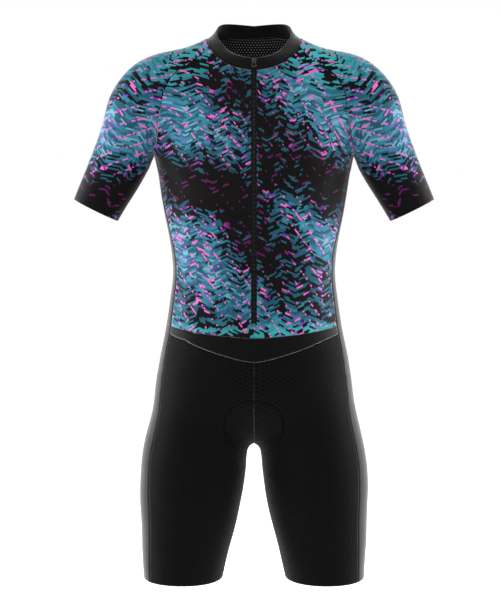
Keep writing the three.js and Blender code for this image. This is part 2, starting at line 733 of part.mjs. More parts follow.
// The seat pad lies inside the crotch, across all four leg panels
function addPad() {
  const seamLine = new THREE.CatmullRomCurve3(
    joined(turned(seam(FLY_SEAM, 12)), seam(SEAT_SEAM, 12)), false, 'centripetal');
  const steps = Math.round(seamLine.getLength());
  const points = seamLine.getSpacedPoints(steps);
  const first = points.findIndex((p) => p.z < PAD_FRONT_Z);
  const length = PAD[PAD.length - 1].at;
  const cloth = suit.children.filter((mesh) => mesh.name.startsWith('leg_'));
  suit.updateMatrixWorld(true);
  const outer = [];
  const inner = [];
  for (let j = 0; j <= PAD_CELLS.along; j++) {
    const share = j / PAD_CELLS.along;
    const at = length * THREE.MathUtils.lerp(share, (1 - Math.cos(Math.PI * share)) / 2, 0.5);
    const middle = settle(points[first + Math.round(at)].clone());
    const fromEnd = Math.min(at, length - at) / (length / 2);
    outer.push([]);
    inner.push([]);
    for (let i = 0; i <= PAD_CELLS.across; i++) {
      const side = 1 - (2 * i) / PAD_CELLS.across;
      const direction = new THREE.Vector3(Math.sign(side), 0, 0);
      const p = walk(middle, direction, Math.abs(side) * padHalfAt(at).half);
      const normal = formNormal(p).normalize();
      lieAgainst(p, normal, cloth);
      const dome = Math.sqrt(Math.min(1 - side * side, fromEnd * (2 - fromEnd) * 1.6, 1));
      const thick = THREE.MathUtils.lerp(PAD_EDGE, PAD_MIDDLE, Math.max(dome, 0));
      outer[j].push(p);
      inner[j].push(p.clone().addScaledVector(normal, -thick));
    }
  }
  addMesh('chamois_pad', wallGeometry(outer, inner), 'pad');
}

// The zip's centre line, from its foot up to the collar's top edge
const zipLine = [
  ...centreFront.slice(SLOT_FOOT),
  ...Array.from({ length: CELLS.collar }, (_, j) =>
    vector(COLLAR_EDGE[0]).lerp(centreFront[centreFront.length - 1], 1 - (j + 1) / CELLS.collar)),
];

// The part of a line between two distances along it
function cutLine(line, from, to) {
  const out = [];
  let run = 0;
  for (let i = 0; i < line.length - 1; i++) {
    const span = line[i].distanceTo(line[i + 1]);
    const at = (distance) => line[i].clone().lerp(line[i + 1], (distance - run) / span);
    if (from >= run && from < run + span) out.push(at(from));
    else if (run > from && run < to) out.push(line[i].clone());
    if (to > run && to <= run + span) out.push(at(to));
    run += span;
  }
  return out;
}

// A strip along the middle of the front: its face has points across it, its rear is flat
function stripGeometry(line, face, rear) {
  const normals = line.map((_, i) => {
    const along = line[Math.min(i + 1, line.length - 1)].clone().sub(line[Math.max(i - 1, 0)]);
    return new THREE.Vector3(1, 0, 0).cross(along).normalize();
  });
  const lay = (i, x, level) => line[i].clone().addScaledVector(normals[i], level).setX(x);
  const outer = line.map((_, i) => face.map((point) => lay(i, point.x, point.level)));
  const inner = line.map((_, i) => face.map((point) => lay(i, point.x, rear)));
  return wallGeometry(outer, inner);
}

// Slider's place on the collar, and its directions: across, up along the zip, and out
const zipLength = zipLine.slice(1).reduce((sum, p, i) => sum + p.distanceTo(zipLine[i]), 0);
const zipTop = zipLine[zipLine.length - 1];
const zipUp = zipTop.clone().sub(zipLine[zipLine.length - 2]).normalize();
const zipOut = new THREE.Vector3(1, 0, 0).cross(zipUp);
const sliderFromTop = (zipTop.z - SLIDER.z) / zipUp.z;
const sliderPlace = zipTop.clone().addScaledVector(zipUp, -sliderFromTop);

function addZip() {
  const coilFoot = STOP.height + SEAM_GAP;
  const coilFace = [
    { x: -COIL_HALF, level: -0.5 },
    { x: -COIL_HALF * 0.6, level: COIL_LEVEL },
    { x: COIL_HALF * 0.6, level: COIL_LEVEL },
    { x: COIL_HALF, level: -0.5 },
  ];
  const coilRear = COIL_LEVEL - COIL_THICK;
  addMesh('zip_coil', stripGeometry(cutLine(zipLine, coilFoot, zipLength - sliderFromTop), coilFace, coilRear), 'zip');
  const tapeFace = [
    { x: COIL_HALF + SEAM_GAP, level: TAPE_LEVEL },
    { x: ZIP_SLOT_HALF - SEAM_GAP / 2, level: TAPE_LEVEL },
  ];
  const tape = stripGeometry(cutLine(zipLine, SEAM_GAP, zipLength), tapeFace, TAPE_LEVEL - TAPE_THICK);
  addMesh('zip_tape_left', tape, 'zip');
  addMesh('zip_tape_right', tape, 'zip').scale.set(-1, 1, 1);
  const stopFace = [
    { x: -COIL_HALF, level: STOP.level - 0.4 },
    { x: -COIL_HALF + 0.4, level: STOP.level },
    { x: COIL_HALF - 0.4, level: STOP.level },
    { x: COIL_HALF, level: STOP.level - 0.4 },
  ];
  const stop = stripGeometry(cutLine(zipLine, SEAM_GAP, STOP.height), stopFace, STOP.level - STOP.thick);
  addMesh('zip_bottom_stop', stop, 'metal');
}

// Outline symmetric about the zip, wider or narrower at its foot, with rounded corners
function tapered(topHalf, footHalf, top, foot, round, path = new THREE.Shape()) {
  path.moveTo(footHalf - round, foot);
  path.quadraticCurveTo(footHalf, foot, footHalf, foot + round);
  path.lineTo(topHalf, top - round);
  path.quadraticCurveTo(topHalf, top, topHalf - round, top);
  path.lineTo(-topHalf + round, top);
  path.quadraticCurveTo(-topHalf, top, -topHalf, top - round);
  path.lineTo(-footHalf, foot + round);
  path.quadraticCurveTo(-footHalf, foot, -footHalf + round, foot);
  path.closePath();
  return path;
}

function slab(shape, from, to) {
  const options = { depth: to - from, bevelEnabled: false, curveSegments: 4 };
  return new THREE.ExtrudeGeometry(shape, options).translate(0, 0, from);
}

function box(width, fromUp, toUp, from, to) {
  return new THREE.BoxGeometry(width, toUp - fromUp, to - from).translate(0, (fromUp + toUp) / 2, (from + to) / 2);
}

const manifold = await Module();
manifold.setup();

function solidOf(geometry) {
  const bare = new THREE.BufferGeometry().setAttribute('position', geometry.getAttribute('position'));
  if (geometry.index) bare.setIndex(geometry.index);
  const merged = mergeVertices(bare, 1e-4);
  return new manifold.Manifold(new manifold.Mesh({
    numProp: 3,
    vertProperties: new Float32Array(merged.attributes.position.array),
    triVerts: new Uint32Array(merged.index.array),
  }));
}

function geometryOf(solid) {
  const mesh = solid.getMesh();
  const geometry = new THREE.BufferGeometry();
  geometry.setAttribute('position', new THREE.BufferAttribute(mesh.vertProperties, 3));
  geometry.setIndex(new THREE.BufferAttribute(mesh.triVerts, 1));
  return geometry;
}

// The slider's face and rear plates are joined by a wedge above the coil's end, and a bridge on
// the face holds the pull tab
function addSlider() {
  const { top, foot, length, thick, face, rear } = SLIDER;
  const outline = () => tapered(top / 2, foot / 2, length / 2, -length / 2, 2);
  const bridgeFoot = face + thick;
  const bridgeTop = bridgeFoot + BRIDGE.gap;
  const reach = BRIDGE.span / 2;
  const pieces = [
    slab(outline(), face, bridgeFoot),
    slab(outline(), rear - thick, rear),
    box(2 * WEDGE_HALF, WEDGE_FOOT, length / 2 - 0.6, rear - 0.2, face + 0.2),
    box(BRIDGE.width, reach - BRIDGE.post, reach, bridgeFoot - 0.2, bridgeTop + 0.2),
    box(BRIDGE.width, -reach, -reach + BRIDGE.post, bridgeFoot - 0.2, bridgeTop + 0.2),
    box(BRIDGE.width, -reach, reach, bridgeTop, bridgeTop + BRIDGE.bar),
  ];
  const solid = pieces.map(solidOf).reduce((sum, next) => sum.add(next));
  const place = new THREE.Matrix4().makeBasis(new THREE.Vector3(1, 0, 0), zipUp, zipOut).setPosition(sliderPlace);
  addMesh('zip_slider', geometryOf(solid).applyMatrix4(place), 'metal');

  const tabShape = tapered(TAB.top / 2, TAB.foot / 2, TAB.bar / 2, TAB.bar / 2 - TAB.length, 0.4);
  const hole = tapered(
    TAB.top / 2 - TAB.rim,
    TAB.foot / 2 - TAB.rim,
    -TAB.bar / 2,
    TAB.bar / 2 - TAB.length + TAB.rim * 1.4,
    0.4,
    new THREE.Path(),
  );
  tabShape.holes.push(hole);
  const tab = slab(tabShape, -TAB.thick / 2, TAB.thick / 2);
  tab.translate(0, TAB.pivot, bridgeFoot + BRIDGE.gap / 2);
  addMesh('zip_pull', tab.applyMatrix4(place), 'metal');
}

addFronts();
addBack();
addSleeves();
addSides();
addWaist();
addLegs();
addCollar();
addPad();
addZip();
addSlider();

export default suit;
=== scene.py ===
"""Looks of the triathlon suit: smooth cloth panels with soft folds, sewn seams, zip teeth and seat pad.

The cloth panels of the frame are welded into one skin, smoothed and creased, and cut into panels again,
so that every seam line stays shared. Lengths are in metres.
"""

from __future__ import annotations

import enum
import json
import logging
import math
from dataclasses import dataclass, field

import bmesh
import bpy
import numpy as np
from mathutils import Matrix, Vector
from mathutils.bvhtree import BVHTree
from mathutils.kdtree import KDTree

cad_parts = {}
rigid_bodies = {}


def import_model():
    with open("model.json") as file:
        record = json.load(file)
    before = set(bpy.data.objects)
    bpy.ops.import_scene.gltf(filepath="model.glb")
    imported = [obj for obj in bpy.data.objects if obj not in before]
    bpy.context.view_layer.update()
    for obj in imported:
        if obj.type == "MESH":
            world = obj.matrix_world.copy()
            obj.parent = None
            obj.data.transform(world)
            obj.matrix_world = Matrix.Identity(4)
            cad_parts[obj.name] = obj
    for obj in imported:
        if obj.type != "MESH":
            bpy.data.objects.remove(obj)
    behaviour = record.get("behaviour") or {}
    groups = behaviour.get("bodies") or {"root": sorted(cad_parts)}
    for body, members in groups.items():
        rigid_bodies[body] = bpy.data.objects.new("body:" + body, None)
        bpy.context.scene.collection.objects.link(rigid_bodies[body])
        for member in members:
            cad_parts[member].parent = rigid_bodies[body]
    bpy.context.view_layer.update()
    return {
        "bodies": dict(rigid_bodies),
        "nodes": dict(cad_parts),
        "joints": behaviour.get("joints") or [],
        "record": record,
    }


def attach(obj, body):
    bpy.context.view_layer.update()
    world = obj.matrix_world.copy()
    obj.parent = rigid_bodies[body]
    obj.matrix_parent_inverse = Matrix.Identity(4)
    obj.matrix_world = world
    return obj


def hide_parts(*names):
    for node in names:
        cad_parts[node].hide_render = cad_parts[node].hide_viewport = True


log = logging.getLogger("suit")
BODY = "garment"
MM = 0.001
MERGE = 0.01 * MM
Colour = tuple[float, float, float, float]
Point = tuple[float, float, float]


class Wear(enum.Enum):
    """Part of the wearer that a cloth panel goes round."""

    TRUNK_FRONT = "trunk front"
    TRUNK_BACK = "trunk back"
    ARM = "arm"
    FLANK = "flank"
    THIGH_FRONT = "thigh front"
    THIGH_BACK = "thigh back"
    NECK = "neck"


class Cloth(enum.Enum):
    """Cloth that a panel is cut from."""

    PRINTED = "print_cloth"
    SMOOTH = "smooth_cloth"
    DIMPLED = "dimpled_cloth"


OUTER_FINISH: dict[Cloth, str] = {
    Cloth.PRINTED: "printed knit",
    Cloth.SMOOTH: "smooth knit",
    Cloth.DIMPLED: "dimpled knit",
}


@dataclass(frozen=True)
class Panel:
    """One cut piece of cloth."""

    node: str
    wear: Wear
    cloth: Cloth
    width: float
    length: float
    area: float

    @property
    def side(self) -> int:
        """Half that the panel lies in: -1 for the right, 1 for the left or the middle."""
        return -1 if self.node.endswith("right") else 1


PANELS: tuple[Panel, ...] = (
    Panel("front_left", Wear.TRUNK_FRONT, Cloth.PRINTED, 0.20, 0.49, 0.072),
    Panel("front_right", Wear.TRUNK_FRONT, Cloth.PRINTED, 0.20, 0.49, 0.072),
    Panel("back", Wear.TRUNK_BACK, Cloth.PRINTED, 0.41, 0.52, 0.155),
    Panel("sleeve_left", Wear.ARM, Cloth.PRINTED, 0.35, 0.33, 0.084),
    Panel("sleeve_right", Wear.ARM, Cloth.PRINTED, 0.35, 0.33, 0.084),
    Panel("side_left", Wear.FLANK, Cloth.SMOOTH, 0.105, 0.73, 0.057),
    Panel("side_right", Wear.FLANK, Cloth.SMOOTH, 0.105, 0.73, 0.057),
    Panel("waist_front", Wear.TRUNK_FRONT, Cloth.SMOOTH, 0.29, 0.045, 0.0067),
    Panel("leg_front_left", Wear.THIGH_FRONT, Cloth.DIMPLED, 0.21, 0.42, 0.073),
    Panel("leg_front_right", Wear.THIGH_FRONT, Cloth.DIMPLED, 0.21, 0.42, 0.073),
    Panel("leg_back_left", Wear.THIGH_BACK, Cloth.DIMPLED, 0.26, 0.43, 0.085),
    Panel("leg_back_right", Wear.THIGH_BACK, Cloth.DIMPLED, 0.26, 0.43, 0.085),
    Panel("collar", Wear.NECK, Cloth.SMOOTH, 0.43, 0.036, 0.0105),
)


def ease(share: np.ndarray) -> np.ndarray:
    """Smooth bump that is 1 where the share is 0 and falls to 0 where it reaches 1."""
    held = np.clip(np.abs(share), 0, 1)
    return (1 - held * held) ** 2


def band(values: np.ndarray, centre: float, half: float | np.ndarray) -> np.ndarray:
    """Soft band that is 1 at its centre and fades out past its half width."""
    return np.exp(-(((values - centre) / half) ** 2))


def ramp(values: np.ndarray, start: float, length: float) -> np.ndarray:
    """Straight ramp that rises from 0 at its start to 1 at its end."""
    return np.clip((values - start) / length, 0, 1)


@dataclass(frozen=True)
class Fold:
    """A soft trough or ridge in the cloth, along a line between two points of the left half.

    Its sizes are in millimetres. A negative depth is a trough, and the bow lifts the line's middle.
    Flatten says how little a distance across the cloth counts against one up or down. Peak and fade
    are shares of the line's length: where the fold is deepest, and how far off it has faded out.
    """

    start: Point
    end: Point
    depth: float
    width: float
    bow: float = 0.0
    reach: float = 45.0
    flatten: float = 0.35
    peak: float = 0.45
    fade: float = 0.75

    def height(self, co: np.ndarray, side: int) -> np.ndarray:
        """Height of the fold at every point.

        Args:
            co: Points of the skin.
            side: 1 for the left half, -1 for the right.

        Returns:
            Height along the normal.
        """
        flip = np.array((side, 1, 1))
        start = np.array(self.start) * MM * flip
        run = np.array(self.end) * MM * flip - start
        length = float(np.linalg.norm(run))
        share = (co - start) @ run / length / length
        held = np.clip(share, 0, 1)
        centre = start + held[:, None] * run
        centre[:, 2] += self.bow * MM * 4 * held * (1 - held)
        away = co - centre
        level = np.hypot(away[:, 2], self.flatten * np.hypot(away[:, 0], away[:, 1]))
        within = np.linalg.norm(away, axis=1) < self.reach * MM
        ends = ease((share - self.peak) / self.fade)
        return self.depth * MM * ends * band(level, 0.0, self.width * MM) * within


# From the underarm, the bend of the waist, the crotch, the sleeve and the back of the knee
FOLDS: tuple[Fold, ...] = (
    Fold((166, -44, -186), (112, -92, -214), -2.2, 9, bow=6),
    Fold((168, -36, -206), (120, -92, -246), 1.8, 10, bow=8),
    Fold((163, -38, -228), (126, -84, -268), -1.6, 9, bow=6),
    Fold((158, -62, -112), (118, -86, -150), -1.4, 10, bow=-5),
    Fold((166, 40, -186), (110, 96, -220), -2.2, 10, bow=6),
    Fold((166, 36, -210), (120, 92, -252), 1.6, 10, bow=6),
    Fold((138, -40, -372), (70, -92, -388), -1.1, 9, bow=5),
    Fold((138, -44, -398), (60, -96, -408), 1.1, 9, bow=4),
    Fold((140, -44, -424), (76, -90, -432), -1.0, 9, bow=-4),
    Fold((138, 44, -366), (20, 92, -384), -1.6, 11, bow=6),
    Fold((140, 44, -396), (28, 88, -404), 1.5, 11, bow=5),
    Fold((142, 44, -426), (36, 86, -428), -1.5, 11, bow=-4),
    Fold((8, -60, -682), (74, -86, -640), -1.6, 8, bow=-6),
    Fold((22, -66, -704), (92, -82, -672), 1.2, 9, bow=-6),
    Fold((30, -60, -738), (88, -88, -716), -1.0, 9, bow=-4),
    Fold((10, 70, -690), (86, 112, -664), -2.0, 10, bow=-8),
    Fold((18, 78, -716), (96, 106, -700), 1.5, 10, bow=-6),
    Fold((196, -30, -226), (250, -42, -196), -1.6, 8, bow=6),
    Fold((206, -34, -252), (266, -36, -224), 1.3, 9, bow=5),
    Fold((196, 34, -224), (252, 44, -196), -1.6, 8, bow=6),
    Fold((176, -40, -190), (216, -56, -150), -1.3, 9, bow=7),
    Fold((70, -78, -820), (150, -64, -806), -0.7, 12, bow=4),
    Fold((66, 80, -816), (150, 66, -802), -1.0, 12, bow=5),
)


class Nodes:
    """Small helper that adds and links shader nodes of one tree."""

    def __init__(self, tree: bpy.types.NodeTree) -> None:
        """Keeps the tree that the nodes go into."""
        self.tree = tree

    def add(self, kind: str, **values: object) -> bpy.types.Node:
        """Adds a node and sets its properties and unlinked inputs.

        Args:
            kind: The node's type.
            values: Properties by name, or inputs as "in_NAME" with spaces as underscores.

        Returns:
            The new node.
        """
        node = self.tree.nodes.new(kind)
        for name, value in values.items():
            if name.startswith("in_"):
                key = name.removeprefix("in_")
                self.feed(node.inputs[int(key) if key.isdigit() else key.replace("_", " ")], value)
            else:
                setattr(node, name, value)
        return node

    def feed(self, socket: bpy.types.NodeSocket, value: object) -> None:
        """Links a socket to another one, or sets its value.

        Args:
            socket: The input.
            value: A socket, a number or a colour.
        """
        if isinstance(value, bpy.types.NodeSocket):
            self.tree.links.new(value, socket)
        else:
            socket.default_value = value

    def math(self, operation: str, *values: object) -> bpy.types.NodeSocket:
        """Adds a Math node.

        Args:
            operation: Name of the operation.
            values: Numbers or sockets, in order.

        Returns:
            The result's socket.
        """
        node = self.add("ShaderNodeMath", operation=operation)
        for socket, value in zip(node.inputs, values):
            self.feed(socket, value)
        return node.outputs[0]

    def mix(self, factor: object, first: object, second: object) -> bpy.types.NodeSocket:
        """Mixes two colours.

        Args:
            factor: Share of the second colour.
            first: The first colour.
            second: The second colour.

        Returns:
            The result's socket.
        """
        node = self.add("ShaderNodeMix", data_type="RGBA")
        self.feed(node.inputs[0], factor)
        self.feed(node.inputs[6], first)
        self.feed(node.inputs[7], second)
        return node.outputs[2]

    def step(self, value: object, low: float, high: float) -> bpy.types.NodeSocket:
        """Adds a smooth step.

        Args:
            value: The socket that is stepped.
            low: Value up to which the step is 0.
            high: Value from which it is 1.

        Returns:
            The result's socket.
        """
        node = self.add("ShaderNodeMapRange", interpolation_type="SMOOTHSTEP")
        self.feed(node.inputs[0], value)
        node.inputs[1].default_value = low
        node.inputs[2].default_value = high
        return node.outputs[0]


def linear(value: float) -> float:
    """Linear share of one display value."""
    share = value / 255
    return share / 12.92 if share <= 0.04045 else ((share + 0.055) / 1.055) ** 2.4


def colour(red: float, green: float, blue: float) -> Colour:
    """Linear colour with full alpha from display values of 0 to 255."""
    return (linear(red), linear(green), linear(blue), 1.0)


def shaded(base: Colour, share: float) -> Colour:
    """A colour made darker or lighter, with full alpha."""
    return (*(min(channel * share, 1.0) for channel in base[:3]), 1.0)


def shader_group(
    name: str, inputs: dict[str, tuple[str, object]], outputs: dict[str, str],
) -> tuple[bpy.types.NodeTree, Nodes, bpy.types.Node, bpy.types.Node]:
    """Makes a shader node group.

    Args:
        name: Name of the group.
        inputs: Socket type and default by input name.
        outputs: Socket type by output name.

    Returns:
        The group's tree, its Nodes helper, and its input and output nodes.
    """
    tree = bpy.data.node_groups.new(name, "ShaderNodeTree")
    for key, (kind, default) in inputs.items():
        socket = tree.interface.new_socket(name=key, in_out="INPUT", socket_type=kind)
        if default is not None:
            socket.default_value = default
    for key, kind in outputs.items():
        tree.interface.new_socket(name=key, in_out="OUTPUT", socket_type=kind)
    nodes = Nodes(tree)
    return tree, nodes, nodes.add("NodeGroupInput"), nodes.add("NodeGroupOutput")


def knit_group() -> bpy.types.NodeTree:
    """Fine knit: rows of small loops over the cloth's own lengths.

    Returns:
        A group that gives a height and a shade from 0 to 1.
    """
    tree, nodes, start, end = shader_group(
        "fine knit",
        {"Vector": ("NodeSocketVector", None), "Pitch": ("NodeSocketFloat", 0.0009)},
        {"Height": "NodeSocketFloat", "Shade": "NodeSocketFloat"},
    )
    parts = nodes.add("ShaderNodeSeparateXYZ", in_0=start.outputs["Vector"])
    scale = nodes.math("DIVIDE", 2 * math.pi, start.outputs["Pitch"])
    across = nodes.math("SINE", nodes.math("MULTIPLY", parts.outputs[0], scale))
    course = nodes.math("MULTIPLY", scale, 0.7)
    along = nodes.math("SINE", nodes.math("MULTIPLY", parts.outputs[1], course))
    loops = nodes.math("MULTIPLY_ADD", nodes.math("MULTIPLY", across, along), 0.5, 0.5)
    cloudy = nodes.add(
        "ShaderNodeTexNoise", in_Vector=start.outputs["Vector"], in_Scale=28.0, in_Detail=3.0,
    )
    nodes.feed(end.inputs["Height"], loops)
    nodes.feed(end.inputs["Shade"], nodes.math("MULTIPLY_ADD", cloudy.outputs[0], 0.5, 0.25))
    return tree


def dimple_group() -> bpy.types.NodeTree:
    """Staggered lozenge dimples over the cloth's own lengths.

    Returns:
        A group that gives a mask, 1 in the dimples and 0 on the ribs between them.
    """
    tree, nodes, start, end = shader_group(
        "lozenge dimples",
        {
            "Vector": ("NodeSocketVector", None),
            "Width": ("NodeSocketFloat", 0.0080),
            "Height": ("NodeSocketFloat", 0.0072),
        },
        {"Mask": "NodeSocketFloat"},
    )
    parts = nodes.add("ShaderNodeSeparateXYZ", in_0=start.outputs["Vector"])
    u = nodes.math("DIVIDE", parts.outputs[0], start.outputs["Width"])
    v = nodes.math("DIVIDE", parts.outputs[1], start.outputs["Height"])
    first = nodes.math("PINGPONG", nodes.math("ADD", u, v), 0.5)
    second = nodes.math("PINGPONG", nodes.math("SUBTRACT", u, v), 0.5)
    inside = nodes.math("MINIMUM", first, second)
    nodes.feed(end.inputs["Mask"], nodes.step(inside, 0.16, 0.40))
    return tree


@dataclass(frozen=True)
class PadEdge:
    """Egg-shaped edge of the seat pad, as it shows through the cloth in front and behind."""

    centre: float = -0.650
    half: float = 0.0498
    above: float = 0.0424
    below: float = 0.060
    half_behind: float = 0.0600
    below_behind: float = 0.074
    rear: float = 0.02
    mean_radius: float = 0.047
    line_half: float = 2.5 * MM

    def distance(self, co: np.ndarray) -> np.ndarray:
        """Distance of points from the edge, seen from the front or from behind.

        Args:
            co: The points.

        Returns:
            One distance for each point.
        """
        x, z = np.abs(co[:, 0]), co[:, 2] - self.centre
        behind = co[:, 1] > self.rear
        half = np.where(behind, self.half_behind, self.half)
        tall = np.where(z > 0, self.above, np.where(behind, self.below_behind, self.below))
        size = np.hypot(x / half, z / tall)
        slope = np.hypot(x / half**2, z / tall**2) / np.maximum(size, 1e-6)
        return np.abs(size - 1) / np.maximum(slope, 1e-6)

    def group(self) -> bpy.types.NodeTree:
        """Builds the edge's thin pressed line as a node group.

        Returns:
            A group that gives 1 on the line, from Object coordinates.
        """
        tree, nodes, start, end = shader_group(
            "pad edge", {"Vector": ("NodeSocketVector", None)}, {"Mask": "NodeSocketFloat"},
        )
        parts = nodes.add("ShaderNodeSeparateXYZ", in_0=start.outputs["Vector"])
        x, y = parts.outputs[0], parts.outputs[1]
        z = nodes.math("SUBTRACT", parts.outputs[2], self.centre)
        behind = nodes.math("GREATER_THAN", y, self.rear)
        over = nodes.math("GREATER_THAN", z, 0.0)
        half = nodes.math("MULTIPLY_ADD", behind, self.half_behind - self.half, self.half)
        low = nodes.math("MULTIPLY_ADD", behind, self.below_behind - self.below, self.below)
        rise = nodes.math("MULTIPLY", over, nodes.math("SUBTRACT", self.above, low))
        tall = nodes.math("ADD", low, rise)
        across = nodes.math("DIVIDE", x, half)
        along = nodes.math("DIVIDE", z, tall)
        squared = nodes.math("MULTIPLY", along, along)
        size = nodes.math("SQRT", nodes.math("MULTIPLY_ADD", across, across, squared))
        off = nodes.math("ABSOLUTE", nodes.math("SUBTRACT", size, 1.0))
        away = nodes.math("MULTIPLY", off, self.mean_radius)
        line = nodes.math("DIVIDE", away, self.line_half)
        nodes.feed(end.inputs["Mask"], nodes.math("SUBTRACT", 1.0, nodes.step(line, 0.35, 1.0)))
        return tree


def hole_group() -> bpy.types.NodeTree:
    """Staggered round holes of an airy knit, as a mask.

    Returns:
        A group that gives 1 in the holes.
    """
    tree, nodes, start, end = shader_group(
        "airy holes",
        {
            "Vector": ("NodeSocketVector", None),
            "Across": ("NodeSocketFloat", 0.0052),
            "Along": ("NodeSocketFloat", 0.0042),
            "Radius": ("NodeSocketFloat", 0.0011),
        },
        {"Mask": "NodeSocketFloat"},
    )
    parts = nodes.add("ShaderNodeSeparateXYZ", in_0=start.outputs["Vector"])
    row = nodes.math("FLOOR", nodes.math("DIVIDE", parts.outputs[1], start.outputs["Along"]))
    odd = nodes.math("MULTIPLY", nodes.math("PINGPONG", row, 1.0), 0.5)
    column = nodes.math("DIVIDE", parts.outputs[0], start.outputs["Across"])
    u = nodes.math("FRACT", nodes.math("ADD", column, odd))
    v = nodes.math("FRACT", nodes.math("DIVIDE", parts.outputs[1], start.outputs["Along"]))
    du = nodes.math("MULTIPLY", nodes.math("SUBTRACT", u, 0.5), start.outputs["Across"])
    dv = nodes.math("MULTIPLY", nodes.math("SUBTRACT", v, 0.5), start.outputs["Along"])
    squared = nodes.math("ADD", nodes.math("MULTIPLY", du, du), nodes.math("MULTIPLY", dv, dv))
    share = nodes.math("DIVIDE", nodes.math("SQRT", squared), start.outputs["Radius"])
    nodes.feed(end.inputs["Mask"], nodes.math("SUBTRACT", 1.0, nodes.step(share, 0.75, 1.1)))
    return tree


@dataclass(frozen=True)
class PrintLook:
    """Colours and sizes of the printed design: leaning dashes in ribbons over black."""

    dash_height: float = 0.0033
    dash_length: float = 0.0105
    lane: float = 0.026
    lean: float = 0.42
    ribbon_lean: float = 0.75
    ribbon_rate: float = 30.0
    ribbon_drift: float = 5.0
    ribbon_swing: float = 0.33
    bead_apart: float = 0.023
    bead_pitch: float = 0.0040
    bead_width: float = 0.0015
    bead_lean: float = 0.8
    bead_gain: float = 0.42
    bead_least: float = 0.14
    purple_from: float = 0.72
    stray_from: float = 0.955
    black: Colour = colour(13, 11, 11)
    deep: Colour = colour(34, 84, 104)
    teal: Colour = colour(58, 128, 152)
    pale: Colour = colour(110, 164, 184)
    lilac: Colour = colour(128, 134, 172)
    pink: Colour = colour(226, 108, 190)
    purple: Colour = colour(118, 46, 180)
    dim: Colour = colour(88, 24, 84)
    turquoise: Colour = colour(70, 206, 204)

    def group(self) -> bpy.types.NodeTree:
        """Builds the design as a node group.

        Returns:
            A group that gives the print's colour from the cloth's own lengths.
        """
        tree, nodes, start, end = shader_group(
            "leaning dashes",
            {
                "Vector": ("NodeSocketVector", None),
                "Fullness": ("NodeSocketFloat", 0.55),
                "Glow": ("NodeSocketFloat", 0.0),
            },
            {"Color": "NodeSocketColor"},
        )
        parts = nodes.add("ShaderNodeSeparateXYZ", in_0=start.outputs["Vector"])
        u, v = parts.outputs[0], parts.outputs[1]
        lane = nodes.math("PINGPONG", u, self.lane)
        height = nodes.math("ADD", v, nodes.math("MULTIPLY", lane, self.lean))
        row = nodes.math("FLOOR", nodes.math("DIVIDE", height, self.dash_height))
        row_noise = nodes.add("ShaderNodeTexWhiteNoise", noise_dimensions="1D", in_W=row)
        run = nodes.math("DIVIDE", u, self.dash_length)
        stagger = nodes.math("MULTIPLY", row_noise.outputs[0], 7.0)
        cell = nodes.math("FLOOR", nodes.math("ADD", run, stagger))
        place = nodes.add("ShaderNodeCombineXYZ", in_0=cell, in_1=row)
        dash = nodes.add("ShaderNodeTexWhiteNoise", noise_dimensions="3D", in_Vector=place.outputs[0])
        shades = nodes.add("ShaderNodeSeparateColor", in_0=dash.outputs["Color"])
        drift = nodes.add(
            "ShaderNodeTexNoise", in_Vector=start.outputs["Vector"], in_Scale=9.0, in_Detail=1.5,
        )
        slope = nodes.math("MULTIPLY_ADD", u, self.ribbon_lean, v)
        drifted = nodes.math("MULTIPLY", drift.outputs[0], self.ribbon_drift)
        wave = nodes.math("SINE", nodes.math("MULTIPLY_ADD", slope, self.ribbon_rate, drifted))
        ribbons = nodes.math("MULTIPLY_ADD", wave, self.ribbon_swing, start.outputs["Fullness"])
        fill = nodes.step(nodes.math("SUBTRACT", ribbons, dash.outputs[0]), -0.02, 0.02)
        teal = nodes.mix(nodes.step(shades.outputs[0], 0.25, 0.55), self.deep, self.teal)
        teal = nodes.mix(nodes.step(shades.outputs[0], 0.74, 0.80), teal, self.pale)
        teal = nodes.mix(nodes.step(shades.outputs[0], 0.88, 0.90), teal, self.lilac)
        teal = nodes.mix(start.outputs["Glow"], teal, self.turquoise)
        body = nodes.mix(fill, self.black, teal)
        chain = nodes.math("DIVIDE", nodes.math("MULTIPLY_ADD", v, self.bead_lean, u), self.bead_apart)
        rank = nodes.math("MULTIPLY_ADD", u, -self.bead_lean, v)
        knot = nodes.math("FLOOR", nodes.math("DIVIDE", rank, self.bead_pitch))
        spot = nodes.add("ShaderNodeCombineXYZ", in_0=nodes.math("ROUND", chain), in_1=knot)
        beads = nodes.add("ShaderNodeTexWhiteNoise", noise_dimensions="3D", in_Vector=spot.outputs[0])
        bead_parts = nodes.add("ShaderNodeSeparateColor", in_0=beads.outputs["Color"])
        off_chain = nodes.math("PINGPONG", chain, 0.5)
        bead = nodes.math("LESS_THAN", off_chain, self.bead_width / self.bead_apart)
        share = nodes.math("MULTIPLY_ADD", ribbons, self.bead_gain, self.bead_least)
        kept = nodes.math("LESS_THAN", beads.outputs[0], share)
        stray = nodes.math("GREATER_THAN", shades.outputs[2], self.stray_from)
        accent = nodes.math("MAXIMUM", nodes.math("MULTIPLY", bead, kept), stray)
        purple = nodes.math("GREATER_THAN", bead_parts.outputs[1], self.purple_from)
        hue = nodes.mix(purple, self.pink, self.purple)
        hue = nodes.mix(nodes.step(ribbons, 0.12, 0.42), self.dim, hue)
        nodes.feed(end.inputs["Color"], nodes.mix(accent, body, hue))
        return tree


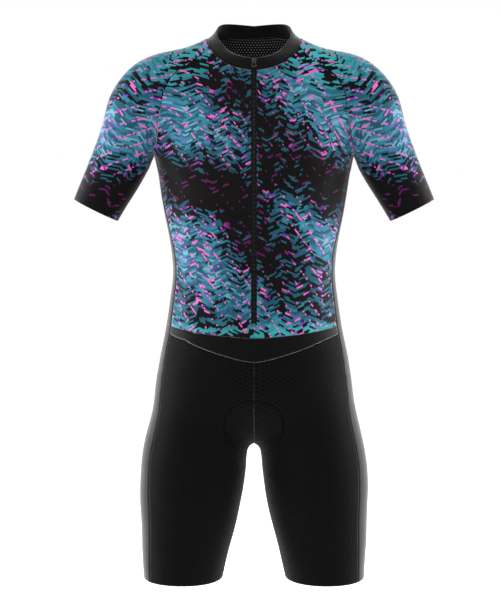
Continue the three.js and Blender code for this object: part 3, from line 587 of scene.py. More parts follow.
@dataclass(frozen=True)
class ClothFinish:
    """Finish of a cloth: its colours, how it shines at the edge, and its surface."""

    name: str
    base: Colour
    rough: float
    sheen: float
    sheen_rough: float
    bump: float
    printed: bool = False
    dimpled: bool = False
    holes: bool = False
    # Share of the colour kept in the seam grooves, where shade is painted.
    seam_shade: float = 0.75
    gloss: float = 0.03
    lightest: float = 1.12
    wear: float = 0.35
    rough_swing: float = 0.12
    # Share of the colour kept in the dimples, where shade is painted.
    dimple_shade: float = 0.3
    dimple_depth: float = 3.0
    pad_line_depth: float = 6.0
    # Colour of the painted shade in the pressed line at the pad's edge.
    pad_edge_shade: Colour = colour(8, 8, 8)
    # Painted light: the grey that stands for light showing through the holes.
    hole_backlight: Colour = colour(120, 122, 124)

    def build(self, groups: dict[str, bpy.types.NodeTree]) -> bpy.types.Material:
        """Makes the material.

        Args:
            groups: The shared node groups by name.

        Returns:
            The material.
        """
        material = bpy.data.materials.new(self.name)
        material.use_nodes = True
        nodes = Nodes(material.node_tree)
        shader = material.node_tree.nodes["Principled BSDF"]
        lay = nodes.add("ShaderNodeUVMap", uv_map="cloth").outputs[0]
        knit = nodes.add("ShaderNodeGroup", node_tree=groups["knit"])
        nodes.feed(knit.inputs["Vector"], lay)
        colour_now: object = self.base
        height = knit.outputs["Height"]
        # Painted shade: the colour is darkened along the seam grooves.
        seam = nodes.add("ShaderNodeAttribute", attribute_name="seam_line")
        if self.printed:
            design = nodes.add("ShaderNodeGroup", node_tree=groups["print"])
            nodes.feed(design.inputs["Vector"], lay)
            edge = nodes.add("ShaderNodeAttribute", attribute_name="print_fullness")
            nodes.feed(design.inputs["Fullness"], edge.outputs["Fac"])
            bright = nodes.add("ShaderNodeAttribute", attribute_name="print_glow")
            nodes.feed(design.inputs["Glow"], bright.outputs["Fac"])
            colour_now = design.outputs["Color"]
        if self.dimpled:
            dimples = nodes.add("ShaderNodeGroup", node_tree=groups["dimples"])
            nodes.feed(dimples.inputs["Vector"], lay)
            # Painted shade: the dimples are darker, and are also pressed in.
            colour_now = nodes.mix(dimples.outputs["Mask"], self.base, shaded(self.base, self.dimple_shade))
            height = nodes.math("MULTIPLY_ADD", dimples.outputs["Mask"], -self.dimple_depth, height)
            # Painted shade in the pressed line at the pad's edge, which is also pressed in.
            edge = nodes.add("ShaderNodeGroup", node_tree=groups["pad edge"])
            nodes.feed(edge.inputs["Vector"], nodes.add("ShaderNodeTexCoord").outputs["Object"])
            colour_now = nodes.mix(edge.outputs["Mask"], colour_now, self.pad_edge_shade)
            height = nodes.math("MULTIPLY_ADD", edge.outputs["Mask"], -self.pad_line_depth, height)
        if self.holes:
            holes = nodes.add("ShaderNodeGroup", node_tree=groups["holes"])
            nodes.feed(holes.inputs["Vector"], lay)
            # Painted light: the holes are lighter, as if light showed through them.
            colour_now = nodes.mix(holes.outputs["Mask"], self.base, self.hole_backlight)
        # Darker along the seam grooves, where shade is painted, and in random cloudy patches of the knit.
        worn = nodes.math("MULTIPLY", knit.outputs["Shade"], self.wear)
        darker = nodes.math("MULTIPLY_ADD", seam.outputs["Fac"], 1 - self.seam_shade, worn)
        tone = nodes.math("SUBTRACT", self.lightest, darker)
        toned = nodes.add("ShaderNodeMix", data_type="RGBA", blend_type="MULTIPLY")
        toned.inputs[0].default_value = 1.0
        nodes.feed(toned.inputs[6], colour_now)
        grey = nodes.add("ShaderNodeCombineColor", in_0=tone, in_1=tone, in_2=tone)
        nodes.feed(toned.inputs[7], grey.outputs[0])
        nodes.feed(shader.inputs["Base Color"], toned.outputs[2])
        smoothest = self.rough - self.rough_swing / 2
        rough = nodes.math("MULTIPLY_ADD", knit.outputs["Shade"], self.rough_swing, smoothest)
        nodes.feed(shader.inputs["Roughness"], rough)
        shader.inputs["Sheen Weight"].default_value = self.sheen
        shader.inputs["Sheen Roughness"].default_value = self.sheen_rough
        shader.inputs["Sheen Tint"].default_value = (1, 1, 1, 1)
        shader.inputs["Specular IOR Level"].default_value = self.gloss
        bump = nodes.add("ShaderNodeBump", in_Strength=self.bump, in_Distance=0.0002)
        nodes.feed(bump.inputs["Height"], height)
        nodes.feed(shader.inputs["Normal"], bump.outputs[0])
        return material


@dataclass(frozen=True)
class HardFinish:
    """Finish of a thread, plastic or metal piece."""

    name: str
    base: Colour
    rough: float
    metal: float = 0.0
    grain: float = 900.0
    bump: float = 0.15
    gloss: float = 0.5

    def build(self) -> bpy.types.Material:
        """Makes the material, with a fine grain on Object coordinates.

        Returns:
            The material.
        """
        material = bpy.data.materials.new(self.name)
        material.use_nodes = True
        nodes = Nodes(material.node_tree)
        shader = material.node_tree.nodes["Principled BSDF"]
        place = nodes.add("ShaderNodeTexCoord").outputs["Object"]
        grain = nodes.add("ShaderNodeTexNoise", in_Vector=place, in_Scale=self.grain, in_Detail=3.0)
        wear = nodes.add("ShaderNodeTexNoise", in_Vector=place, in_Scale=self.grain / 8, in_Detail=2.0)
        tint = nodes.mix(wear.outputs[0], shaded(self.base, 0.7), shaded(self.base, 1.35))
        nodes.feed(shader.inputs["Base Color"], tint)
        rough = nodes.math("MULTIPLY_ADD", wear.outputs[0], 0.2, self.rough - 0.1)
        nodes.feed(shader.inputs["Roughness"], rough)
        shader.inputs["Metallic"].default_value = self.metal
        shader.inputs["Specular IOR Level"].default_value = self.gloss
        bump = nodes.add("ShaderNodeBump", in_Strength=self.bump, in_Distance=0.0001)
        nodes.feed(bump.inputs["Height"], grain.outputs[0])
        nodes.feed(shader.inputs["Normal"], bump.outputs[0])
        return material


@dataclass
class Finishes:
    """All materials of the suit, built once."""

    made: dict[str, bpy.types.Material] = field(default_factory=dict)

    def build(self) -> None:
        """Builds every material."""
        groups = {
            "knit": knit_group(),
            "dimples": dimple_group(),
            "holes": hole_group(),
            "print": PrintLook().group(),
            "pad edge": PadEdge().group(),
        }
        cloths = (
            ClothFinish(
                "printed knit", colour(30, 30, 30), rough=0.6, sheen=0.55, sheen_rough=0.28, bump=0.25,
                printed=True, gloss=0.07,
            ),
            ClothFinish(
                "smooth knit", colour(10, 10, 11), rough=0.5, sheen=0.75, sheen_rough=0.37, bump=0.2,
            ),
            ClothFinish(
                "dimpled knit", colour(17, 17, 17), rough=0.55, sheen=0.17, sheen_rough=0.34, bump=0.6,
                dimpled=True, seam_shade=0.5, gloss=0.02,
            ),
            ClothFinish(
                "inner knit", colour(12, 12, 12), rough=0.8, sheen=0.1, sheen_rough=0.5, bump=0.2,
            ),
            ClothFinish(
                "airy inner knit", colour(8, 8, 8), rough=0.8, sheen=0.1, sheen_rough=0.5, bump=0.3,
                holes=True,
            ),
        )
        for finish in cloths:
            self.made[finish.name] = finish.build(groups)
        hard = (
            HardFinish("black thread", colour(20, 20, 21), rough=0.6, gloss=0.3),
            HardFinish("grey thread", colour(86, 86, 87), rough=0.6, gloss=0.3),
            HardFinish("zip tape", colour(10, 10, 10), rough=0.75, gloss=0.15),
            HardFinish("nylon teeth", colour(6, 6, 7), rough=0.5, gloss=0.2),
            HardFinish("gunmetal", colour(96, 97, 100), rough=0.34, metal=0.85, grain=500.0, bump=0.06),
            HardFinish("brushed pad knit", colour(52, 56, 62), rough=0.85, grain=700.0, bump=0.3),
        )
        for finish in hard:
            self.made[finish.name] = finish.build()

    def __getitem__(self, name: str) -> bpy.types.Material:
        """Material by name."""
        return self.made[name]


def read_vectors(mesh: bpy.types.Mesh, key: str) -> np.ndarray:
    """Points or normals of a mesh as rows of three numbers.

    Args:
        mesh: The mesh.
        key: "co" for the points, "normal" for the normals.

    Returns:
        One row for each vertex.
    """
    values = np.empty(len(mesh.vertices) * 3)
    mesh.vertices.foreach_get(key, values)
    return values.reshape(-1, 3)


def run_along(points: np.ndarray) -> np.ndarray:
    """Length run along a line, at each of its points."""
    steps = np.linalg.norm(np.diff(points, axis=0), axis=1)
    return np.concatenate(((0,), np.cumsum(steps)))


def at_length(where: float, run: np.ndarray, rows: np.ndarray) -> Vector:
    """Point or normal of a line at a length run along it."""
    return Vector([np.interp(where, run, rows[:, axis]) for axis in range(3)])


def link_piece(
    work: bmesh.types.BMesh, name: str, material: bpy.types.Material | None = None,
) -> bpy.types.Object:
    """Makes an object from a finished bmesh, and frees the bmesh.

    Args:
        work: The bmesh.
        name: The object's name.
        material: Its material, if it gets one now.

    Returns:
        The object, in the scene.
    """
    mesh = bpy.data.meshes.new(name)
    work.to_mesh(mesh)
    work.free()
    if material is not None:
        mesh.materials.append(material)
    piece = bpy.data.objects.new(name, mesh)
    bpy.context.scene.collection.objects.link(piece)
    return piece


def smooth_out(piece: bpy.types.Object, levels: int) -> None:
    """Subdivides a piece smoothly and keeps the result as its mesh.

    Args:
        piece: The piece.
        levels: How many times each face is divided.
    """
    smooth = piece.modifiers.new("smooth", "SUBSURF")
    smooth.levels = levels
    smooth.render_levels = levels
    smooth.boundary_smooth = "PRESERVE_CORNERS"
    shown = piece.evaluated_get(bpy.context.evaluated_depsgraph_get())
    fine = bpy.data.meshes.new_from_object(shown)
    piece.modifiers.clear()
    piece.data = fine


def write_values(mesh: bpy.types.Mesh, name: str, values: np.ndarray) -> None:
    """Writes one number for each vertex as a named attribute."""
    layer = mesh.attributes.new(name, "FLOAT", "POINT")
    layer.data.foreach_set("value", values)


@dataclass(frozen=True)
class CrotchArch:
    """Rounding of the arch between the legs, beside its middle."""

    rise: float = 3.0 * MM
    beside: float = 7.0 * MM
    half: float = 6.5 * MM
    level: float = -0.706
    reach: float = 13.0 * MM

    def lift(self, co: np.ndarray) -> np.ndarray:
        """Height that each point is raised by."""
        across = ease((np.abs(co[:, 0]) - self.beside) / self.half)
        return self.rise * across * ease((co[:, 2] - self.level) / self.reach)


@dataclass(frozen=True)
class UnderarmFold:
    """Raised fold of the cloth under each arm."""

    rise: float = 11.0 * MM
    beside: float = 0.169
    half: float = 13.0 * MM
    half_depth: float = 32.0 * MM
    level: float = -0.212
    reach_below: float = 9.0 * MM
    reach_above: float = 17.0 * MM

    def lift(self, co: np.ndarray) -> np.ndarray:
        """Height that each point is raised by.

        Args:
            co: The points.

        Returns:
            One height for each point.
        """
        near = band(np.abs(co[:, 0]), self.beside, self.half) * band(co[:, 1], 0.0, self.half_depth)
        reach = np.where(co[:, 2] < self.level, self.reach_below, self.reach_above)
        return self.rise * near * band(co[:, 2], self.level, reach)


@dataclass(frozen=True)
class Zone:
    """A soft stretch of the print: its middle, its half width, and how much it adds or takes."""

    middle: float
    half: float
    share: float = 1.0

    def over(self, values: np.ndarray) -> np.ndarray:
        """Share at each distance or height."""
        return self.share * band(values, self.middle, self.half)


@dataclass(frozen=True)
class PrintSpread:
    """Where the print is full, where it thins out, and where it glows turquoise."""

    full: float = 0.66
    least: float = 0.02
    most: float = 0.98
    centre: Zone = Zone(0.0, 0.06, -0.30)
    chest: Zone = Zone(-0.245, 0.05, -0.42)
    foot: Zone = Zone(-0.45, 0.06, 0.12)
    chest_top: float = -0.19
    sleeve_from: float = 0.18
    shoulder_gain: float = 0.22
    shoulder_from: float = 0.12
    shoulder_run: float = 0.05
    shoulder_foot: float = -0.21
    shoulder_rise: float = 0.03
    cuff_loss: float = 0.66
    cuff_from: float = 0.19
    cuff_run: float = 0.08
    glow_left: float = 0.85
    glow_right: float = 0.5
    glow_level: Zone = Zone(-0.03, 0.045)
    glow_beside: Zone = Zone(0.115, 0.06)
    glow_foot: Zone = Zone(-0.497, 0.012, 0.45)
    glow_foot_side: float = 0.16

    def fullness(self, co: np.ndarray) -> np.ndarray:
        """Share of the cloth that the print covers.

        Args:
            co: Points of the skin.

        Returns:
            One share for each point.
        """
        across, z = np.abs(co[:, 0]), co[:, 2]
        outwards = ramp(across, self.shoulder_from, self.shoulder_run)
        full = self.full + self.shoulder_gain * outwards * ramp(z, self.shoulder_foot, self.shoulder_rise)
        full += self.centre.over(across) + self.foot.over(z)
        full += self.chest.over(z) * (across < self.sleeve_from) * (z < self.chest_top)
        full -= self.cuff_loss * ramp(-z, self.cuff_from, self.cuff_run) * (across > self.sleeve_from)
        return np.clip(full, self.least, self.most)

    def glow(self, co: np.ndarray) -> np.ndarray:
        """Share of turquoise in the print.

        Args:
            co: Points of the skin.

        Returns:
            One share for each point.
        """
        across, z = np.abs(co[:, 0]), co[:, 2]
        strength = np.where(co[:, 0] > 0, self.glow_left, self.glow_right)
        glow = strength * self.glow_level.over(z) * self.glow_beside.over(across)
        glow += self.glow_foot.over(z) * (across < self.glow_foot_side)
        return np.clip(glow, 0, self.glow_left)


@dataclass
class Skin:
    """The whole outer face of the cloth as one smooth mesh, cut into panels at the end."""

    frame: dict
    finishes: Finishes
    levels: int = 3
    weld: float = 0.7 * MM
    sharp: float = math.radians(62)
    collar_crease: float = 0.55
    underarm_crease: float = 0.85
    wall: float = 1.1 * MM
    collar_wall: float = 1.8 * MM
    seam_half: float = 2.6 * MM
    seam_depth: float = 0.55 * MM
    print_seam_depth: float = 0.2 * MM
    seam_ridge: float = 0.25 * MM
    seam_ridge_at: float = 1.6
    # Painted shade along the seam grooves: its width as a share of the groove's, and its strength where
    # print meets print.
    seam_dark: float = 0.7
    print_seam_dark: float = 0.2
    pad_groove: float = 0.8 * MM
    pad_groove_half: float = 5.0 * MM
    pad_top: float = -0.58
    pad_foot: float = -0.76
    pad_side: float = 0.09
    ripple: float = 0.35 * MM
    ripple_up: tuple[float, float] = (61, 17)
    ripple_round: tuple[float, float] = (43, 29)
    arm_head: Point = (0.13, 0.005, -0.085)
    arm_cuff: Point = (0.272, 0.002, -0.295)
    sleeve_head: Point = (0.13, 0.005, -0.075)
    sleeve_run: Point = (0.142, -0.003, -0.22)
    sleeve_radius: float = 0.05
    middle_y: float = 0.004
    thigh_x: float = 0.1
    thigh_radius: float = 0.085
    trunk_heights: tuple[float, ...] = (-0.56, -0.40, -0.20, -0.15, -0.10, -0.06, -0.03, 0.0)
    trunk_radii: tuple[float, ...] = (0.135, 0.118, 0.140, 0.134, 0.118, 0.098, 0.080, 0.070)
    seams: list[tuple[str, np.ndarray, np.ndarray]] = field(default_factory=list)
    surface: BVHTree | None = None

    def inside_of(self, panel: Panel, p: Vector) -> Vector:
        """A point inside the garment that the cloth at p faces away from.

        Args:
            panel: The panel.
            p: A point on it.

        Returns:
            The point inside.
        """
        flip = Vector((panel.side, 1, 1))
        if panel.wear is Wear.ARM:
            head = Vector(self.arm_head) * flip
            run = Vector(self.arm_cuff) * flip - head
            share = (p - head).dot(run) / run.length_squared
            return head + run * max(0.0, min(share, 1.0))
        if panel.wear in (Wear.THIGH_FRONT, Wear.THIGH_BACK, Wear.FLANK):
            return Vector((self.thigh_x * panel.side, self.middle_y, p.z))
        return Vector((0, self.middle_y, p.z))

    def patches(self, work: bmesh.types.BMesh) -> list[list[bmesh.types.BMFace]]:
        """Groups the faces that hang together.

        Args:
            work: A mesh that is split at its sharp edges.

        Returns:
            The groups of faces.
        """
        found = []
        seen: set[int] = set()
        for face in work.faces:
            if face.index in seen:
                continue
            patch, queue = [], [face]
            seen.add(face.index)
            while queue:
                now = queue.pop()
                patch.append(now)
                for edge in now.edges:
                    for other in edge.link_faces:
                        if other.index not in seen:
                            seen.add(other.index)
                            queue.append(other)
            found.append(patch)
        return found

    def facing(self, panel: Panel, patch: list[bmesh.types.BMFace]) -> float:
        """Area of a group of faces, as far as they face away from the garment's inside.

        Args:
            panel: The panel that the faces are of.
            patch: The faces.

        Returns:
            The area, less than zero for an inner face.
        """
        score = 0.0
        for face in patch:
            centre = face.calc_center_median()
            away = (centre - self.inside_of(panel, centre)).normalized()
            score += face.normal.dot(away) * face.calc_area()
        return score

    def outer_faces(self, panel: Panel) -> bmesh.types.BMesh:
        """Copies a node's mesh and keeps its outer face.

        Args:
            panel: The panel whose node is copied.

        Returns:
            A mesh of four-sided faces.
        """
        work = bmesh.new()
        work.from_mesh(self.frame["nodes"][panel.node].data)
        bmesh.ops.remove_doubles(work, verts=work.verts, dist=MERGE)
        bmesh.ops.recalc_face_normals(work, faces=work.faces)
        work.normal_update()
        shared = [edge for edge in work.edges if len(edge.link_faces) == 2]
        sharp = [edge for edge in shared if edge.calc_face_angle(0) > self.sharp]
        bmesh.ops.split_edges(work, edges=sharp)
        work.faces.ensure_lookup_table()
        keep = set(max(self.patches(work), key=lambda patch: self.facing(panel, patch)))
        bmesh.ops.delete(work, geom=[face for face in work.faces if face not in keep], context="FACES")
        bmesh.ops.join_triangles(
            work, faces=work.faces, angle_face_threshold=1.2, angle_shape_threshold=1.4,
        )
        return work

    def weld_panels(self) -> bpy.types.Object:
        """Welds every panel's outer face into one smooth mesh, with the panel's number as its material.

        Returns:
            The whole skin.
        """
        whole = bmesh.new()
        for number, panel in enumerate(PANELS):
            part = self.outer_faces(panel)
            for face in part.faces:
                face.material_index = number
                face.smooth = True
            held = bpy.data.meshes.new("held")
            part.to_mesh(held)
            part.free()
            whole.from_mesh(held)
            bpy.data.meshes.remove(held)
        bmesh.ops.remove_doubles(whole, verts=whole.verts, dist=self.weld)
        crease = whole.edges.layers.float.new("crease_edge")
        for edge in whole.edges:
            kinds = {face.material_index for face in edge.link_faces}
            worn = {PANELS[kind].wear for kind in kinds}
            if len(worn) == 2 and Wear.NECK in worn:
                edge[crease] = self.collar_crease
            elif worn == {Wear.ARM, Wear.FLANK}:
                edge[crease] = self.underarm_crease
        skin = link_piece(whole, "skin")
        for panel in PANELS:
            skin.data.materials.append(bpy.data.materials.new("slot " + panel.node))
        smooth_out(skin, self.levels)
        return skin

    def find_seams(self, mesh: bpy.types.Mesh) -> None:
        """Chains the edges between two panels into seam lines.

        Args:
            mesh: The fine skin.
        """
        work = bmesh.new()
        work.from_mesh(mesh)
        runs: dict[tuple[int, int], list[bmesh.types.BMEdge]] = {}
        for edge in work.edges:
            kinds = sorted({face.material_index for face in edge.link_faces})
            if len(kinds) == 2:
                runs.setdefault((kinds[0], kinds[1]), []).append(edge)
        for (first, second), edges in runs.items():
            links: dict[bmesh.types.BMVert, list[bmesh.types.BMEdge]] = {}
            for edge in edges:
                for vert in edge.verts:
                    links.setdefault(vert, []).append(edge)
            left = set(edges)
            while left:
                ends = [v for v, many in links.items() if sum(e in left for e in many) == 1]
                vert = ends[0] if ends else next(iter(left)).verts[0]
                points, normals = [vert.co.copy()], [vert.normal.copy()]
                while True:
                    onward = [e for e in links[vert] if e in left]
                    if not onward:
                        break
                    left.discard(onward[0])
                    vert = onward[0].other_vert(vert)
                    points.append(vert.co.copy())
                    normals.append(vert.normal.copy())
                name = PANELS[first].node + "." + PANELS[second].node
                self.seams.append((name, np.array(points), np.array(normals)))
        work.free()

    def shape(self, mesh: bpy.types.Mesh) -> None:
        """Presses folds, seam grooves and the pad's outline into the skin, and writes its attributes.

        Args:
            mesh: The fine skin.
        """
        co, normal = read_vectors(mesh, "co"), read_vectors(mesh, "normal")
        x, y, z = co.T
        up = np.sin(z * self.ripple_up[0] + x * self.ripple_up[1])
        shift = self.ripple * up * np.sin(x * self.ripple_round[0] - y * self.ripple_round[1])
        for fold in FOLDS:
            for side in (1, -1):
                shift += fold.height(co, side)
        near, printed = self.nearest_seam(co)
        shift -= np.where(printed, self.print_seam_depth, self.seam_depth) * ease(near / self.seam_half)
        beside = ease((near - self.seam_ridge_at * self.seam_half) / self.seam_half)
        shift += np.where(printed, 0.0, self.seam_ridge) * beside
        around = (z < self.pad_top) & (z > self.pad_foot) & (np.abs(x) < self.pad_side)
        shift -= self.pad_groove * around * ease(PadEdge().distance(co) / self.pad_groove_half)
        co += normal * shift[:, None]
        co[:, 2] += CrotchArch().lift(co)
        co[:, 2] += UnderarmFold().lift(co)
        mesh.vertices.foreach_set("co", co.reshape(-1))
        # Painted shade along the seam grooves, weaker where print meets print.
        dark = ease(near / (self.seam_dark * self.seam_half))
        write_values(mesh, "seam_line", dark * np.where(printed, self.print_seam_dark, 1.0))
        write_values(mesh, "print_fullness", PrintSpread().fullness(co))
        write_values(mesh, "print_glow", PrintSpread().glow(co))
        mesh.update()

    def nearest_seam(self, co: np.ndarray) -> tuple[np.ndarray, np.ndarray]:
        """Distance to the nearest seam, and whether print lies on both sides of that seam.

        Args:
            co: Points of the skin.

        Returns:
            The distances, and the flags.
        """
        prints = {panel.node for panel in PANELS if panel.cloth is Cloth.PRINTED}
        every, kinds = [], []
        for name, points, _ in self.seams:
            every.append(points)
            kinds += [set(name.split(".")) <= prints] * len(points)
        spots = np.concatenate(every)
        tree = KDTree(len(spots))
        for at, point in enumerate(spots):
            tree.insert(point, at)
        tree.balance()
        found = [tree.find(Vector(p)) for p in co]
        flags = np.array(kinds)
        return np.array([one[2] for one in found]), flags[[one[1] for one in found]]

    def lay_out(self, piece: bpy.types.Object, panel: Panel) -> None:
        """Gives a panel the lengths across and along it as its UV map, in metres.

        Args:
            piece: The panel's object.
            panel: What the panel goes round.
        """
        mesh = piece.data
        co = read_vectors(mesh, "co")
        along = co[:, 2]
        radius: float | np.ndarray = np.interp(co[:, 2], self.trunk_heights, self.trunk_radii)
        if panel.wear is Wear.FLANK:
            around, radius = co[:, 1], 1.0
        elif panel.wear is Wear.ARM:
            flip = np.array((panel.side, 1, 1))
            run = np.array(self.sleeve_run) * flip
            run /= np.linalg.norm(run)
            out = np.array((run[2] * -panel.side, 0, run[0] * panel.side))
            away = co - np.array(self.sleeve_head) * flip
            along = away @ run
            around, radius = np.arctan2(-away[:, 1], away @ out), self.sleeve_radius
        else:
            middle = 0.0
            if panel.wear in (Wear.THIGH_FRONT, Wear.THIGH_BACK):
                middle, radius = self.thigh_x * panel.side, self.thigh_radius
            facing = -1 if panel.wear in (Wear.TRUNK_FRONT, Wear.THIGH_FRONT, Wear.NECK) else 1
            around = np.arctan2(co[:, 0] - middle, facing * co[:, 1])
        corner = np.empty(len(mesh.loops), dtype=np.int64)
        mesh.loops.foreach_get("vertex_index", corner)
        turn = around[corner]
        if panel.wear is not Wear.FLANK:
            starts = np.empty(len(mesh.polygons), dtype=np.int64)
            sizes = np.empty(len(mesh.polygons), dtype=np.int64)
            mesh.polygons.foreach_get("loop_start", starts)
            mesh.polygons.foreach_get("loop_total", sizes)
            face = np.repeat(np.arange(len(starts)), sizes)
            high = np.maximum.reduceat(turn, starts)[face]
            low = np.minimum.reduceat(turn, starts)[face]
            turn = np.where((high - low > math.pi) & (turn < 0), turn + 2 * math.pi, turn)
        layer = mesh.uv_layers.new(name="cloth")
        reach = radius[corner] if isinstance(radius, np.ndarray) else radius
        flat = np.stack((turn * reach, along[corner]), axis=1)
        layer.data.foreach_set("uv", flat.reshape(-1))

    def cut(self, skin: bpy.types.Object) -> dict[str, bpy.types.Object]:
        """Cuts the skin into its panels.

        Args:
            skin: The whole skin.

        Returns:
            The panels' objects by node name.
        """
        bpy.ops.object.select_all(action="DESELECT")
        skin.select_set(True)
        bpy.context.view_layer.objects.active = skin
        bpy.ops.object.mode_set(mode="EDIT")
        bpy.ops.mesh.select_all(action="SELECT")
        bpy.ops.mesh.separate(type="MATERIAL")
        bpy.ops.object.mode_set(mode="OBJECT")
        found = {}
        for piece in list(bpy.context.selected_objects):
            slot = piece.data.materials[piece.data.polygons[0].material_index]
            found[slot.name.removeprefix("slot ")] = piece
        return found

    def dress(self, piece: bpy.types.Object, panel: Panel) -> None:
        """Args:
            piece: The panel's object.
            panel: What it is cut from.
        """
        inside = "airy inner knit" if panel.wear is Wear.TRUNK_BACK else "inner knit"
        mesh = piece.data
        mesh.materials.clear()
        mesh.materials.append(self.finishes[OUTER_FINISH[panel.cloth]])
        mesh.materials.append(self.finishes[inside])
        mesh.polygons.foreach_set("material_index", np.zeros(len(mesh.polygons), dtype=np.int32))
        wall = piece.modifiers.new("wall", "SOLIDIFY")
        wall.thickness = self.collar_wall if panel.wear is Wear.NECK else self.wall
        wall.offset = -1
        wall.use_rim = True
        wall.material_offset = 0 if panel.wear is Wear.NECK else 1
        piece.name = panel.node + "_cloth"
        mesh.name = piece.name
        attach(piece, BODY)
        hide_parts(panel.node)
        log.info("%s: %d faces", piece.name, len(mesh.polygons))

    def build(self) -> None:
        """Builds all panels."""
        skin = self.weld_panels()
        self.find_seams(skin.data)
        self.shape(skin.data)
        self.surface = BVHTree.FromObject(skin, bpy.context.evaluated_depsgraph_get())
        pieces = self.cut(skin)
        for panel in PANELS:
            piece = pieces[panel.node]
            self.lay_out(piece, panel)
            self.dress(piece, panel)


@dataclass
class Stitching:
    """Two rows of short stitches beside the seams of the legs."""

    skin: Skin
    finishes: Finishes
    pitch: float = 3.1 * MM
    stitch: float = 2.1 * MM
    thick: float = 0.42 * MM
    apart: float = 1.7 * MM
    look: float = 2.0 * MM
    sunk: float = 0.2

    def places(self, points: np.ndarray, normals: np.ndarray, offset: float) -> list[Matrix]:
        """Places of the stitches of one row.

        Args:
            points: The seam's points.
            normals: The skin's normals there.
            offset: The row's distance from the seam, to the left of its direction.

        Returns:
            One matrix for each stitch.
        """
        run = run_along(points)
        count = int(run[-1] / self.pitch)
        found = []
        for number in range(count):
            middle = (number + 0.5) * run[-1] / count
            ahead = at_length(middle + self.look, run, points)
            along = (ahead - at_length(middle - self.look, run, points)).normalized()
            up = at_length(middle, run, normals).normalized()
            across = up.cross(along).normalized()
            hit = self.skin.surface.find_nearest(at_length(middle, run, points) + across * offset)
            if hit[0] is None:
                continue
            place = hit[0] + up * self.thick * self.sunk
            basis = Matrix((along, across, along.cross(across))).transposed().to_4x4()
            found.append(Matrix.Translation(place) @ basis)
        return found

    def thread(self, first: str, second: str) -> str | None:
        """Thread that the seam between two panels is sewn with.

        Args:
            first: Name of the panel that comes first in the list of panels.
            second: Name of the other panel.

        Returns:
            The thread's finish, or None where no stitches show.
        """
        if first.startswith("side") and second.startswith("leg_front"):
            return "grey thread"
        return "black thread" if second.startswith("leg_back") else None

    def build(self) -> None:
        """Builds the stitches, in grey at the front of the legs and in black behind."""
        shape = Matrix.Diagonal((self.stitch, self.thick, self.thick, 1))
        shape = shape @ Matrix.Rotation(math.pi / 2, 4, "Y")
        works = {"black thread": bmesh.new(), "grey thread": bmesh.new()}
        for name, points, normals in self.skin.seams:
            thread = self.thread(*name.split("."))
            if thread is None or len(points) < 4:
                continue
            for offset in (-self.apart, self.apart):
                for place in self.places(points, normals, offset):
                    bmesh.ops.create_cone(
                        works[thread], cap_ends=True, segments=5, radius1=0.5, radius2=0.5, depth=1.0,
                        matrix=place @ shape,
                    )
        for name, work in works.items():
            bmesh.ops.recalc_face_normals(work, faces=work.faces)
            piece = link_piece(work, "seam_" + name.replace(" ", "_"), self.finishes[name])
            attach(piece, BODY)
            log.info("%s: %d faces", piece.name, len(piece.data.polygons))


